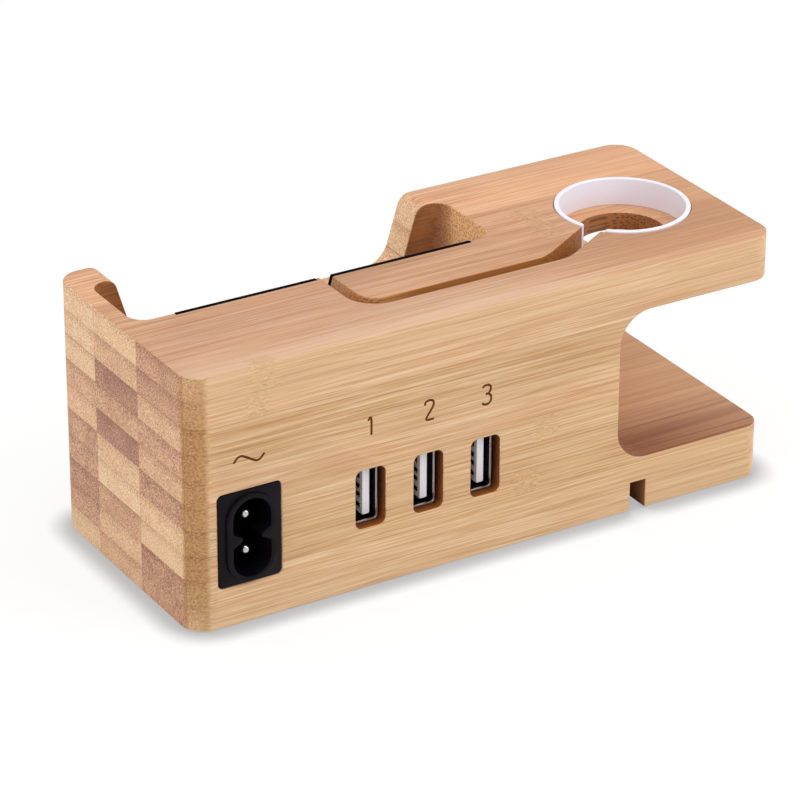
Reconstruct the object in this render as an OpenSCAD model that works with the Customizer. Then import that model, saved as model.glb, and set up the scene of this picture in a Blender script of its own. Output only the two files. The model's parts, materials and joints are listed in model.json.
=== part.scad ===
// Charging station: a laminated bamboo block that holds a phone and a watch charger,
// with a mains supply inside it that feeds three USB sockets at the rear.
// X runs along the block, from the watch deck (-X) to the mains inlet (+X).
// The phone side is the front (-Y), the sockets are at the rear (+Y), and Z is up.
// The origin is on the surface that the feet stand on, below the middle of the outer box.

/* [Block] */
// Length of the block
block_l = 147; // [135:1:200]
// Width of the block, from front to rear
block_w = 60.6; // [58:0.2:90]
// Height of the block
block_h = 59.4; // [58:0.2:90]
// Radius of the upright corners at the inlet end
corner_r = 5.5; // [2:0.5:9]
// Radius of the upright corners of the watch deck
deck_corner_r = 5.5; // [2:0.5:12]
// Radius of the upright corners of the shelf
shelf_corner_r = 5; // [2:0.5:12]
// Rounding of the lower edge at the free end of the deck and of the shelf
nose_r = 1.75; // [0.5:0.25:4]

/* [Deck and shelf] */
// Depth of the open space between deck and shelf, from the end of the block
gap_l = 40.6; // [34:0.2:48]
// Thickness of the watch deck
deck_t = 10.6; // [9:0.1:14]
// Thickness of the shelf
shelf_t = 12.9; // [10:0.1:18]
// Radius of the two inner corners of the space
gap_r = 7.6; // [2:0.2:12]
// How much shorter than the deck the shelf is
shelf_setback = 1; // [0:0.25:4]

/* [Phone pocket] */
// Length of the pocket
pocket_l = 88.7; // [70:0.1:96]
// Wall between the pocket and the inlet end
pocket_end_wall = 4.1; // [3:0.1:8]
// Thickness of the front lip
lip_t = 8; // [5:0.5:12]
// Height of the front lip between its shoulders
lip_h = 43.2; // [38:0.2:50]
// Height of the pocket floor
pocket_floor_h = 36; // [34:0.5:42]
// Thickness of the block behind the pocket, at the top
ridge_w = 30.8; // [28:0.2:34]
// Lean of the phone from upright
phone_lean = 20; // [8:1:22]
// Radius of the pocket's corners
pocket_r = 4; // [1.5:0.25:5]
// Flat length of the lip's top at each end of the pocket
shoulder_flat = 3.7; // [1:0.1:8]
// Radius of the shoulder's upper bend
shoulder_r = 3.4; // [1:0.2:6]
// Radius of the shoulder's lower bend
shoulder_foot_r = 7; // [2:0.5:12]
// Lean of the shoulder's straight part
shoulder_lean = 17; // [5:1:30]

/* [Phone pads] */
// Thickness of the two soft pads
pad_t = 1.2; // [0.8:0.1:2]
// How far the pads stand out of their recess
pad_proud = 0.2; // [0.2:0.1:0.7]
// Distance from the pocket's inlet end to the first pad
pad_inset_inlet = 9.3; // [5:0.1:14]
// Distance from the pocket's watch end to the second pad
pad_inset_watch = 6.3; // [5:0.1:14]
// Distance from the pocket floor to the pads, measured along the slope
pad_foot = 3; // [1:0.5:8]
// Distance from the cable groove to the pad on its inlet side
pad_groove_gap = 1; // [0.3:0.1:3]

/* [Watch seat] */
// Outer diameter of the watch ring
ring_d = 30.6; // [29:0.2:34]
// Wall of the watch ring
ring_wall = 1.1; // [0.8:0.1:1.8]
// Depth of the seat in the deck
ring_seat_depth = 6.2; // [4:0.1:7]
// How far the ring stands above the deck
ring_proud = 0.3; // [0:0.1:1]
// Gap in the ring for the charger's cable
ring_gap = 5.6; // [5.2:0.1:8]
// Turn of the gap, away from the block's length
ring_turn = 31; // [24:0.5:34]
// Distance from the end of the deck to the ring's centre
ring_from_end = 20.8; // [18:0.2:22]
// How far the ring's centre lies behind the middle of the deck
ring_offset = 0.4; // [-0.6:0.1:1]
// Diameter of the opening below the watch charger
ring_hole_d = 20; // [12:0.2:24]

/* [Cable ways] */
// Width of the groove on top
groove_w = 2.7; // [2:0.1:4]
// Depth of the groove on top
groove_depth = 5.5; // [4:0.1:6]
// Distance from the rear face to the middle of the groove
groove_from_rear = 13.9; // [12:0.1:16]
// Distance from the inlet end to the groove's short leg
groove_leg_from_end = 49.9; // [44:0.1:56]
// Radius of the groove's bend, on its middle line
groove_bend_r = 6; // [4:0.25:9]
// Width of the groove where it meets the ring
flare_w = 4.6; // [4:0.1:5.6]
// Radius of the groove's edges where it turns towards the ring
flare_r = 10; // [4:0.5:12]
// Width of the channel under the block
channel_w = 4; // [3:0.1:5]
// Height of the channel under the block
channel_h = 6.9; // [4:0.1:8]
// Distance from the inlet end to the channel's mouth in the rear face
channel_from_end = 112.2; // [110:0.1:120]
// Length of the cable opening in the pocket floor
drop_l = 14; // [8:0.5:20]
// Width of the cable opening in the pocket floor
drop_w = 7; // [5:0.5:8]

/* [Supply bay] */
// Wall between the bay and the rear face
rear_wall = 4.5; // [3.5:0.1:6]
// Wall between the bay and the inlet end
end_wall = 5; // [4:0.1:6.2]
// Length of the bay
bay_l = 93; // [86:0.5:98]
// Width of the bay
bay_w = 33; // [32:0.5:34]
// Height of the bay's roof
bay_h = 32; // [31.8:0.1:33]
// Side of the two screw blocks in the bay, below the inlet
block_side = 8; // [7:0.25:8.5]
// Height of the screw blocks
block_top = 8.9; // [8:0.1:9.3]

/* [Base cover] */
// Thickness of the base cover
cover_t = 2.4; // [1.8:0.1:4]
// Width of the step that the cover rests on
cover_step = 2; // [1.5:0.1:2.5]
// Length of the cover beyond the bay, towards the watch end
cover_tail = 8; // [6.5:0.25:9]
// How far the cover lies inside the underside
cover_inset = 0.4; // [0:0.1:1]
// Gap round the cover
cover_clear = 0.25; // [0.1:0.05:0.6]
// Shank diameter of the cover's screws
screw_d = 2.9; // [2:0.1:3.5]
// Length of the cover's screws below the head
screw_l = 5.2; // [3:0.1:5.4]
// Head diameter of the cover's screws
screw_head_d = 5.6; // [4:0.2:6.4]

/* [Feet] */
// Diameter of the rubber feet
foot_d = 9; // [6:0.5:10]
// Thickness of the rubber feet
foot_t = 1.5; // [1:0.1:2]
// How far the feet stand out of the underside
foot_proud = 0.3; // [0.2:0.1:0.8]
// Distance from the front and rear faces to the feet
foot_inset = 9.5; // [8:0.5:12]
// Distance from the inlet end to the feet
foot_from_end = 22; // [19:0.5:24]
// Distance from the end of the shelf to the feet
foot_from_shelf_end = 10; // [8:0.5:14]

/* [Mains inlet] */
// Width of the inlet
inlet_w = 15.1; // [14:0.1:17]
// Height of the inlet
inlet_h = 22; // [21.6:0.1:22.4]
// Depth of the inlet's body
inlet_depth = 17; // [15:0.5:20]
// Distance from the inlet end to the inlet's middle
inlet_from_end = 13.9; // [13.6:0.1:14.6]
// Height of the inlet's middle
inlet_z = 20.4; // [20.2:0.1:20.8]
// How far the rim stands out of the rear face
rim_proud = 1.1; // [0.5:0.1:3]
// Width of the rim's wall beside the socket
rim_side = 1.5; // [1:0.05:2.2]
// Width of the rim's wall above and below the socket
rim_top = 1.15; // [0.8:0.05:1.5]
// Width of the socket
socket_w = 8.9; // [8.6:0.1:9.6]
// Height of the socket
socket_h = 18.3; // [17.6:0.1:18.8]
// Depth of the socket
socket_depth = 12.5; // [10:0.5:14]
// Spacing of the two pins
pin_pitch = 8.6; // [8:0.1:9]
// Diameter of the pins
pin_d = 2.4; // [2:0.1:2.6]
// How far the pins stay behind the rim
pin_recess = 2.4; // [1:0.1:5]

/* [USB sockets] */
// Distance from the inlet end to the first socket
port_from_end = 43.25; // [40:0.25:46]
// Spacing of the sockets
port_pitch = 14.35; // [12.5:0.05:15]
// Height of the sockets' middle
port_z = 21.35; // [21:0.05:22]
// Width of a window in the rear face
window_w = 7.35; // [6.6:0.05:9]
// Height of a window in the rear face
window_h = 13.9; // [13.5:0.1:15]
// Radius of a window's corners
window_r = 1.6; // [0.5:0.1:2.5]
// Outer width of a socket's shell
shell_w = 5.72; // [5.4:0.02:6]
// Outer height of a socket's shell
shell_h = 13.14; // [12.8:0.02:13.4]
// Length of a socket's shell
shell_l = 14; // [12:0.5:18]
// Thickness of a shell's sheet metal
shell_t = 0.3; // [0.2:0.05:0.5]
// How far a shell stays behind the rear face
shell_recess = 2.4; // [1:0.1:4]

/* [Circuit board] */
// Thickness of the board
board_t = 1.6; // [1:0.1:2]
// Length of the board
board_l = 70; // [66:0.5:72]
// Width of the board, from front to rear
board_w = 31; // [29:0.5:31.5]
// Distance from the inlet end to the board
board_from_end = 25; // [24:0.25:26.5]
// Gap between the board and the bay's rear wall
board_clear = 0.6; // [0.3:0.1:1]
// Diameter of the posts below the board
post_d = 6; // [4.5:0.5:7]
// Distance from the board's edges to the post screws
post_inset = 3.5; // [3.2:0.1:4]
// Shank diameter of the board's screws
board_screw_d = 2.2; // [1.6:0.1:2.6]
// Length of the board's screws below the head
board_screw_l = 7; // [4:0.5:9]

/* [Supply parts] */
// Width of the transformer's core
core_w = 16; // [14:0.5:18]
// Height of the transformer's core
core_h = 13; // [11:0.5:14]
// Thickness of the transformer's core
core_t = 5; // [4:0.25:6]
// Length of the transformer's winding
winding_l = 12; // [10:0.5:14]
// Diameter of the mains storage capacitors
bulk_d = 8; // [6:0.5:9]
// Height of the mains storage capacitors
bulk_h = 14; // [10:0.5:16]
// Diameter of the output capacitors
output_d = 6.3; // [5:0.1:7]
// Height of the output capacitors
output_h = 11; // [8:0.5:15]
// Outer diameter of the mains filter's ring
choke_d = 12; // [9:0.5:13]
// Width of the heat sink
sink_w = 13; // [10:0.5:16]
// Height of the heat sink
sink_h = 13; // [10:0.5:16]
// Outer diameter of the mains leads
lead_d = 1.6; // [1.2:0.1:2.2]

/* [Fits] */
// Gap round the watch ring in its seat
ring_clear = 0.1; // [0.05:0.05:0.2]
// Gap round the inlet in its opening
inlet_clear = 0.1; // [0.05:0.05:0.3]
// Gap round a pin or a screw in its hole
pin_clear = 0.05; // [0.05:0.05:0.2]
// Gap round a pad or a foot in its recess
recess_clear = 0.15; // [0.05:0.05:0.4]

/* [Hidden] */
$fn = 64;

// A little extra, so that a cut passes through the face it starts from
past = 1;

// Places along X and Y are given from the inlet end and from the rear face
function from_end(d) = block_l / 2 - d;
function from_rear(d) = block_w / 2 - d;

// Phone pocket
pocket_x1 = from_end(pocket_end_wall);
pocket_x0 = pocket_x1 - pocket_l;
pocket_front = -block_w / 2 + lip_t;
slope_top = from_rear(ridge_w);
slope_h = block_h - pocket_floor_h;
slope_run = slope_h * tan(phone_lean);
slope_foot = slope_top - slope_run;
slope_l = slope_h / cos(phone_lean);

// Shoulder of the lip: an upper bend, a leaning line and a lower bend, each tangent to the next
bend_top_z = block_h - shoulder_r;
bend_foot_z = lip_h + shoulder_foot_r;
bend_top_x = shoulder_flat;
bend_foot_x = bend_top_x + (shoulder_r + shoulder_foot_r
    - (bend_foot_z - bend_top_z) * sin(shoulder_lean)) / cos(shoulder_lean);

// Phone pads, one on each side of the groove's short leg
pad_span_1 = [from_end(groove_leg_from_end) + groove_w / 2 + pad_groove_gap, pocket_x1 - pad_inset_inlet];
pad_span_0 = [pocket_x0 + pad_inset_watch, from_end(groove_leg_from_end) - groove_w / 2];

// Watch seat and cable ways
ring_x = -block_l / 2 + ring_from_end;
ring_y = ring_offset;
groove_y = from_rear(groove_from_rear);
groove_leg_x = from_end(groove_leg_from_end);
flare_front = -ring_gap / 2;
flare_rear = flare_front + flare_w;
flare_tangent = flare_r * tan(ring_turn / 2);
channel_x = from_end(channel_from_end);
drop_x = groove_leg_x;
drop_y = pocket_front + drop_w / 2 + 0.8;

// Supply bay and base cover
bay_x1 = from_end(end_wall);
bay_x0 = bay_x1 - bay_l;
bay_y1 = from_rear(rear_wall);
bay_y0 = bay_y1 - bay_w;
cover_top = cover_inset + cover_t;
cover_x0 = bay_x0 - cover_tail;
cover_x1 = bay_x1 + cover_step;
cover_y0 = bay_y0 - cover_step;
cover_y1 = bay_y1 + cover_step;
screw_xs = [bay_x0 - cover_tail / 2, bay_x1 - block_side / 2];
screw_ys = [bay_y0 + block_side / 2, bay_y1 - block_side / 2];
head_h = (screw_head_d - screw_d) / 2;

// Feet
shelf_end = -block_l / 2 + shelf_setback;
foot_recess = foot_t - foot_proud;
foot_xs = [shelf_end + foot_from_shelf_end, from_end(foot_from_end)];
foot_ys = [-block_w / 2 + foot_inset, block_w / 2 - foot_inset];

// Inlet
inlet_x = from_end(inlet_from_end);
inlet_corner_r = 1.2;
rear = block_w / 2;
rim_front = rear + rim_proud;
socket_floor = rim_front - socket_depth;
inlet_back = rear - inlet_depth;
pin_tip = rim_front - pin_recess;
tab_l = 5;
tab_w = 2;
tab_t = 0.8;
tab_end = inlet_back - tab_l;

// USB sockets: the shells stand on the board
port_xs = [for (i = [0:2]) from_end(port_from_end + i * port_pitch)];
shell_front = rear - shell_recess;
shell_back = shell_front - shell_l;
insert_base_l = 4.5;
tongue_t = 1.84;
tongue_h = 11.1;
tongue_gap = 1;
tongue_recess = 0.8;
contact_t = 0.2;
contact_w = 1;
contact_l = 6.5;
contact_zs = [-3.5, -1, 1, 3.5];
tongue_x0 = -shell_w / 2 + shell_t + tongue_gap;
tongue_x1 = tongue_x0 + tongue_t;
tongue_front = shell_front - tongue_recess;

// Circuit board
board_top = port_z - shell_h / 2;
board_z = board_top - board_t;
board_x1 = from_end(board_from_end);
board_x0 = board_x1 - board_l;
board_y1 = bay_y1 - board_clear;
board_y0 = board_y1 - board_w;
post_xs = [board_x0 + post_inset, board_x1 - post_inset];
post_ys = [board_y0 + post_inset, board_y1 - post_inset];
board_head_d = board_screw_d * 1.8;
board_head_h = board_screw_d * 0.6;

// Supply parts on the board, in rows from the mains side to the output side
part_gap = 0.5;
terminal_w = 8;
terminal_d = 7;
terminal_h = 8;
terminal_pitch = 3.5;
terminal_x = board_x1 - 2 * post_inset - 1 - terminal_w / 2;
terminal_y = board_y0 + 2 * post_inset + terminal_d / 2;
terminal_screw_d = 2.2;
lead_in = 2.5;
lead_start = 6;
lead_run = 9;
fuse_d = 6;
fuse_h = 7;
fuse_x = board_x1 - 1 - fuse_d / 2;
fuse_y = terminal_y + terminal_d / 2 + part_gap + fuse_d / 2;
filter_l = 11;
filter_w = 5;
filter_h = 10;
filter_x = fuse_x - fuse_d / 2 - 2 * part_gap - filter_l / 2;
filter_y = shell_back - part_gap - filter_w / 2;
choke_h = 5;
choke_hole_d = choke_d / 2;
choke_wire = 0.8;
choke_x = terminal_x - terminal_w / 2 - 2 * part_gap - choke_d / 2 - choke_wire;
choke_y = board_y0 + part_gap + choke_d / 2 + choke_wire;
bridge_l = 7;
bridge_w = 4.4;
bridge_h = 3;
bridge_x = filter_x - filter_l / 2 - 2 * part_gap - bridge_l / 2;
bridge_y = shell_back - part_gap - bridge_w / 2;
storage_x = choke_x - choke_d / 2 - choke_wire - part_gap - bulk_d / 2;
storage_ys = [for (i = [0, 1]) board_y0 + part_gap + bulk_d / 2 + i * (bulk_d + part_gap)];
transformer_x = storage_x - bulk_d / 2 - 2 * part_gap - core_w / 2;
transformer_y = board_y0 + 2 * part_gap + winding_l / 2;
bobbin_base = 2.4;
bobbin_wall = 0.6;
core_leg = 4;
core_side = 2;
core_yoke = 2;
core_window = (core_w - core_leg) / 2 - core_side;
spool_z = board_top + bobbin_base + core_yoke;
spool_h = core_h - 2 * core_yoke;
spool_reach = min(core_window, (winding_l - core_t) / 2);
flange_t = 0.7;
fit = 0.1;
chip_l = 9;
chip_w = 6.4;
chip_h = 3.4;
chip_x = (port_xs[1] + port_xs[2]) / 2;
chip_y = board_y1 - 3 * part_gap - chip_l / 2;
coupler_l = 6.4;
coupler_w = 4.4;
coupler_x = transformer_x - core_w / 4;
coupler_y = transformer_y + winding_l / 2 + 2 * part_gap + coupler_w / 2;
safety_d = 7.5;
safety_t = 3.2;
safety_x = storage_x - bulk_d / 2 - part_gap - safety_d / 2;
safety_y = shell_back - part_gap - safety_t / 2;
diode_w = 8;
diode_t = 2.8;
diode_h = 11;
diode_x = transformer_x - core_w / 2 - part_gap - diode_t / 2;
sink_t = 1.4;
fin_t = 0.8;
fin_l = 1.4;
fin_n = 5;
sink_x = diode_x - diode_t / 2 - sink_t;
sink_y = board_y0 + 2 * part_gap + sink_w / 2;
output_xs = [for (i = [0, 1]) port_xs[2] - shell_w / 2 - 3 * part_gap - output_d / 2
    - i * (output_d + part_gap)];
output_y = board_y1 - 2 * post_inset + part_gap - output_d / 2 + 1;
coil_d = 5;
coil_h = 6;
coil_x = board_x0 + coil_d / 2 + 1;
coil_y = sink_y + sink_w / 2 + part_gap + coil_d / 2;

// Colours
bamboo_c = [0.82, 0.66, 0.47];
white_c = [0.95, 0.95, 0.96];
black_c = [0.08, 0.08, 0.09];
metal_c = [0.75, 0.76, 0.78];
gold_c = [0.85, 0.68, 0.3];
board_c = [0.1, 0.35, 0.2];
copper_c = [0.75, 0.4, 0.2];
ferrite_c = [0.2, 0.2, 0.22];
yellow_c = [0.9, 0.75, 0.2];

// Moves a piece from the block's own frame, centred on its underside, to the part's frame:
// up onto the feet, and forward because the inlet's rim adds to the outer box at the rear
module seated() {
    translate([0, -rim_proud / 2, foot_proud])
        children();
}

// A flat rectangle with round corners, centred
module round_rect(l, w, r) {
    union() {
        square([l - 2 * r, w], center = true);
        square([l, w - 2 * r], center = true);
        for (x = [-1, 1], y = [-1, 1])
            translate([x * (l / 2 - r), y * (w / 2 - r)])
                circle(r);
    }
}

// A flat rectangle with its lower edge at y = 0 and its two upper corners round
module tongue_rect(l, w, r) {
    union() {
        translate([-l / 2, 0])
            square([l, w - r]);
        translate([-l / 2 + r, 0])
            square([l - 2 * r, w]);
        for (x = [-1, 1])
            translate([x * (l / 2 - r), w - r])
                circle(r);
    }
}

// A plain box given by two opposite corners
module span(a, b) {
    translate(a)
        cube(b - a);
}

// An upright cylinder at a place
module post(x, y, z0, z1, d) {
    translate([x, y, z0])
        cylinder(h = z1 - z0, d = d);
}

// Turns a flat shape drawn in X and Z into a bar along Y, between y0 and y1
module bar_y(y0, y1) {
    translate([0, y1, 0])
        rotate([90, 0, 0])
            linear_extrude(y1 - y0)
                children();
}

// Block

// Material outside a round corner at the origin, for a shape that lies to the right and above
module corner_cut(r) {
    difference() {
        translate([-past, -past])
            square(r + past);
        translate([r, r])
            circle(r);
    }
}

// Plan of the block: one radius at the inlet end, another at the watch end
module block_plan(watch_end, r) {
    inlet_end = block_l / 2;
    difference() {
        translate([watch_end, -block_w / 2])
            square([inlet_end - watch_end, block_w]);
        for (side = [0, 1])
            mirror([0, side]) {
                translate([watch_end, -block_w / 2])
                    corner_cut(r);
                translate([inlet_end, -block_w / 2])
                    mirror([1, 0])
                        corner_cut(corner_r);
            }
    }
}

// Space between deck and shelf, drawn in X and Z
module gap_profile() {
    x0 = -block_l / 2 - past;
    x1 = -block_l / 2 + gap_l;
    z0 = shelf_t;
    z1 = block_h - deck_t;
    union() {
        translate([x0, z0])
            square([x1 - gap_r - x0, z1 - z0]);
        translate([x0, z0 + gap_r])
            square([x1 - x0, z1 - z0 - 2 * gap_r]);
        for (z = [z0 + gap_r, z1 - gap_r])
            translate([x1 - gap_r, z])
                circle(gap_r);
    }
}

module block_shape() {
    middle = (shelf_t + block_h - deck_t) / 2;
    difference() {
        union() {
            linear_extrude(middle)
                block_plan(shelf_end, shelf_corner_r);
            translate([0, 0, middle])
                linear_extrude(block_h - middle)
                    block_plan(-block_l / 2, deck_corner_r);
        }
        bar_y(-block_w / 2 - past, block_w / 2 + past)
            union() {
                gap_profile();
                translate([-block_l / 2, block_h - deck_t])
                    corner_cut(nose_r);
                translate([shelf_end, 0])
                    corner_cut(nose_r);
            }
    }
}

// Phone pocket

// What is both behind the upright front, with its round corners, and before the leaning back, with its own
module pocket() {
    middle = (pocket_x0 + pocket_x1) / 2;
    intersection() {
        translate([middle, block_w / 2, pocket_floor_h])
            rotate([0, 0, 180])
                linear_extrude(block_h - pocket_floor_h + past)
                    tongue_rect(pocket_l, block_w / 2 - pocket_front, pocket_r);
        translate([middle, slope_foot, pocket_floor_h])
            rotate([-phone_lean, 0, 0])
                translate([0, -block_w, -block_w / 2])
                    linear_extrude(block_w / 2 + block_h)
                        tongue_rect(pocket_l, block_w, pocket_r);
    }
}

// Half of the low part of the lip, drawn from the pocket's end inwards
module shoulder_cut(reach) {
    top = [bend_top_x, bend_top_z];
    foot = [bend_foot_x, bend_foot_z];
    n = [cos(shoulder_lean), sin(shoulder_lean)];
    difference() {
        union() {
            polygon([
                top,
                top + shoulder_r * n,
                foot - shoulder_foot_r * n,
                foot,
                [bend_foot_x, lip_h],
                [reach, lip_h],
                [reach, block_h + past],
                [bend_top_x, block_h + past]
            ]);
            translate(foot)
                circle(shoulder_foot_r);
        }
        translate(top)
            circle(shoulder_r);
    }
}

module lip_cut() {
    reach = pocket_l / 2 + past / 2;
    bar_y(-block_w / 2 - past, pocket_front + pocket_r) {
        translate([pocket_x0, 0])
            shoulder_cut(reach);
        translate([pocket_x1, 0])
            mirror([1, 0])
                shoulder_cut(reach);
    }
}

// Frame on the slope: X along the block, Y up the slope, Z out of it
module on_slope() {
    translate([0, slope_foot, pocket_floor_h])
        rotate([90 - phone_lean, 0, 0])
            children();
}

module pad_recess(x) {
    on_slope()
        span([x[0] - recess_clear, pad_foot - recess_clear, pad_proud - pad_t],
            [x[1] + recess_clear, slope_l + past, past]);
}

// A pad is cut off level with the top of the block
module pad(x) {
    intersection() {
        on_slope()
            span([x[0], pad_foot, pad_proud - pad_t], [x[1], slope_l + past, pad_proud]);
        span([x[0] - past, slope_foot - 2 * pad_t, 0], [x[1] + past, slope_top + 2 * pad_t, block_h]);
    }
}

// Cable ways

// A point of the turned part of the groove: a distance from the ring's centre, and one across it
function flared(along, across) = [
    ring_x + along * cos(ring_turn) - across * sin(ring_turn),
    ring_y + along * sin(ring_turn) + across * cos(ring_turn)
];

// How far along an edge of the turned part is when it comes to a height
function flare_reach(y, across) = (y - ring_y - across * cos(ring_turn)) / sin(ring_turn);

// The turned part meets the straight one in two arcs, each tangent to both of its edges
module flare_plan(run_x) {
    y0 = groove_y - groove_w / 2;
    y1 = groove_y + groove_w / 2;
    reach0 = flare_reach(y0, flare_front);
    reach1 = flare_reach(y1, flare_rear);
    bend0 = flared(reach0, flare_front)[0] + flare_tangent;
    bend1 = flared(reach1, flare_rear)[0] + flare_tangent;
    union() {
        difference() {
            polygon([
                flared(ring_d / 4, flare_front),
                flared(reach0 - flare_tangent, flare_front),
                [bend0, y0],
                [run_x, y0],
                [run_x, y1],
                [bend1, y1],
                flared(reach1 - flare_tangent, flare_rear),
                flared(ring_d / 4, flare_rear)
            ]);
            translate([bend0, y0 - flare_r])
                circle(flare_r);
        }
        intersection() {
            translate([bend1, y1 - flare_r])
                circle(flare_r);
            polygon([[bend1, y1], flared(reach1, flare_rear), flared(reach1 - flare_tangent, flare_rear)]);
        }
    }
}

module groove_plan() {
    leg_y = groove_y - groove_bend_r;
    run_x = groove_leg_x - groove_bend_r;
    union() {
        flare_plan(run_x);
        translate([groove_leg_x - groove_w / 2, slope_foot])
            square([groove_w, leg_y - slope_foot]);
        translate([run_x, leg_y])
            intersection() {
                difference() {
                    circle(groove_bend_r + groove_w / 2);
                    circle(groove_bend_r - groove_w / 2);
                }
                square(groove_bend_r + groove_w);
            }
    }
}

module groove() {
    translate([0, 0, block_h - groove_depth])
        linear_extrude(groove_depth + past)
            groove_plan();
}

module channel() {
    span([channel_x - channel_w / 2, drop_y - channel_w / 2, -past],
        [channel_x + channel_w / 2, block_w / 2 + past, channel_h]);
    span([channel_x - channel_w / 2, drop_y - channel_w / 2, -past],
        [drop_x + drop_l / 2, drop_y + channel_w / 2, channel_h]);
    translate([drop_x, drop_y, 0])
        linear_extrude(pocket_floor_h + past)
            round_rect(drop_l, drop_w, drop_w / 2 - 0.5);
}

// Supply bay

module bay() {
    difference() {
        span([bay_x0, bay_y0, -past], [bay_x1, bay_y1, bay_h]);
        for (y = [bay_y0 - past, bay_y1 - block_side])
            translate([bay_x1 - block_side, y, cover_top])
                cube([block_side + past, block_side + past, block_top - cover_top]);
    }
    span([cover_x0, cover_y0, -past], [cover_x1, cover_y1, cover_top]);
}

module screw_holes() {
    for (x = screw_xs, y = screw_ys)
        post(x, y, cover_top - past, cover_inset + head_h + screw_l + 0.3, screw_d + 2 * pin_clear);
}

module windows() {
    bar_y(bay_y1 - past, rear + past)
        for (x = port_xs)
            translate([x, port_z])
                round_rect(window_w, window_h, window_r);
    bar_y(bay_y1 - past, rear + past)
        translate([inlet_x, inlet_z])
            round_rect(inlet_w + 2 * inlet_clear, inlet_h + 2 * inlet_clear, inlet_corner_r);
}

module bamboo_body() {
    color(bamboo_c)
        seated()
            difference() {
                block_shape();
                pocket();
                lip_cut();
                pad_recess(pad_span_1);
                pad_recess(pad_span_0);
                groove();
                channel();
                post(ring_x, ring_y, block_h - ring_seat_depth, block_h + past,
                    ring_d + 2 * ring_clear);
                post(ring_x, ring_y, block_h - deck_t - past, block_h, ring_hole_d);
                bay();
                screw_holes();
                windows();
                for (x = foot_xs, y = foot_ys)
                    post(x, y, -past, foot_recess, foot_d + 2 * recess_clear);
            }
}

// Watch ring: a split band, open towards the groove
module watch_ring() {
    color(white_c)
        seated()
            translate([ring_x, ring_y, block_h - ring_seat_depth])
                difference() {
                    cylinder(h = ring_seat_depth + ring_proud, d = ring_d);
                    translate([0, 0, -past])
                        cylinder(h = ring_seat_depth + ring_proud + 2 * past, d = ring_d - 2 * ring_wall);
                    rotate(ring_turn)
                        translate([0, -ring_gap / 2, -past])
                            cube([ring_d, ring_gap, ring_seat_depth + ring_proud + 2 * past]);
                }
}

module phone_pad_inlet_side() {
    color(black_c)
        seated()
            pad(pad_span_1);
}

module phone_pad_watch_side() {
    color(black_c)
        seated()
            pad(pad_span_0);
}

// Base cover: a plate with vents and four posts for the board
module base_cover() {
    vent_w = 2;
    vent_l = 14;
    color(black_c)
        seated()
            difference() {
                union() {
                    span([cover_x0 + cover_clear, cover_y0 + cover_clear, cover_inset],
                        [cover_x1 - cover_clear, cover_y1 - cover_clear, cover_top]);
                    for (x = post_xs, y = post_ys)
                        post(x, y, cover_top - past, board_z, post_d);
                }
                for (x = post_xs, y = post_ys)
                    post(x, y, board_top - board_screw_l - 0.5, board_z + past, board_screw_d + 2 * pin_clear);
                for (x = screw_xs, y = screw_ys) {
                    post(x, y, -past, cover_top + past, screw_d + 2 * pin_clear);
                    translate([x, y, cover_inset - 0.01])
                        cylinder(h = head_h, d1 = screw_head_d + 2 * pin_clear, d2 = screw_d + 2 * pin_clear);
                }
                for (x = foot_xs, y = foot_ys)
                    post(x, y, -past, foot_recess, foot_d + 2 * recess_clear);
                for (i = [-3:3])
                    translate([transformer_x + 4 + i * 2.2 * vent_w, (bay_y0 + bay_y1) / 2, -past])
                        linear_extrude(cover_top + 2 * past)
                            round_rect(vent_w, vent_l, vent_w / 2 - 0.01);
            }
}

// Countersunk screw with its head down and a cross slot in it
module cover_screw() {
    slot_l = 0.6 * screw_head_d;
    difference() {
        union() {
            cylinder(h = head_h, d1 = screw_head_d, d2 = screw_d);
            cylinder(h = head_h + screw_l, d = screw_d);
        }
        for (turn = [0, 90])
            rotate(turn)
                translate([-slot_l / 2, -0.3, -past])
                    cube([slot_l, 0.6, past + 0.8]);
    }
}

module cover_screws() {
    color(metal_c)
        seated()
            for (x = screw_xs, y = screw_ys)
                translate([x, y, cover_inset])
                    cover_screw();
}

module rubber_feet() {
    color(black_c)
        seated()
            for (x = foot_xs, y = foot_ys)
                post(x, y, -foot_proud, foot_recess, foot_d);
}

// Mains inlet

// Opening of the socket: two round ends with a notch between them on each side
module socket_profile() {
    notch_h = 3.4;
    notch_tip = 0.8;
    notch_l = 2.2;
    difference() {
        round_rect(socket_w, socket_h, socket_w / 2 - 0.01);
        for (s = [-1, 1])
            scale([s, 1])
                polygon([
                    [socket_w / 2 + past, notch_h / 2],
                    [socket_w / 2, notch_h / 2],
                    [socket_w / 2 - notch_l, notch_tip / 2],
                    [socket_w / 2 - notch_l, -notch_tip / 2],
                    [socket_w / 2, -notch_h / 2],
                    [socket_w / 2 + past, -notch_h / 2]
                ]);
    }
}

module inlet_housing() {
    rim_w = socket_w + 2 * rim_side;
    rim_h = socket_h + 2 * rim_top;
    color(black_c)
        seated()
            translate([inlet_x, 0, inlet_z])
                difference() {
                    union() {
                        bar_y(inlet_back, rear)
                            round_rect(inlet_w, inlet_h, inlet_corner_r);
                        bar_y(rear - past, rim_front)
                            round_rect(rim_w, rim_h, rim_w / 2 - 0.01);
                    }
                    bar_y(socket_floor, rim_front + past)
                        socket_profile();
                    for (z = [-1, 1] * pin_pitch / 2)
                        translate([0, 0, z])
                            rotate([90, 0, 0])
                                translate([0, 0, -socket_floor - past])
                                    cylinder(h = socket_floor - inlet_back + 2 * past, d = pin_d + 2 * pin_clear);
                }
}

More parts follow.
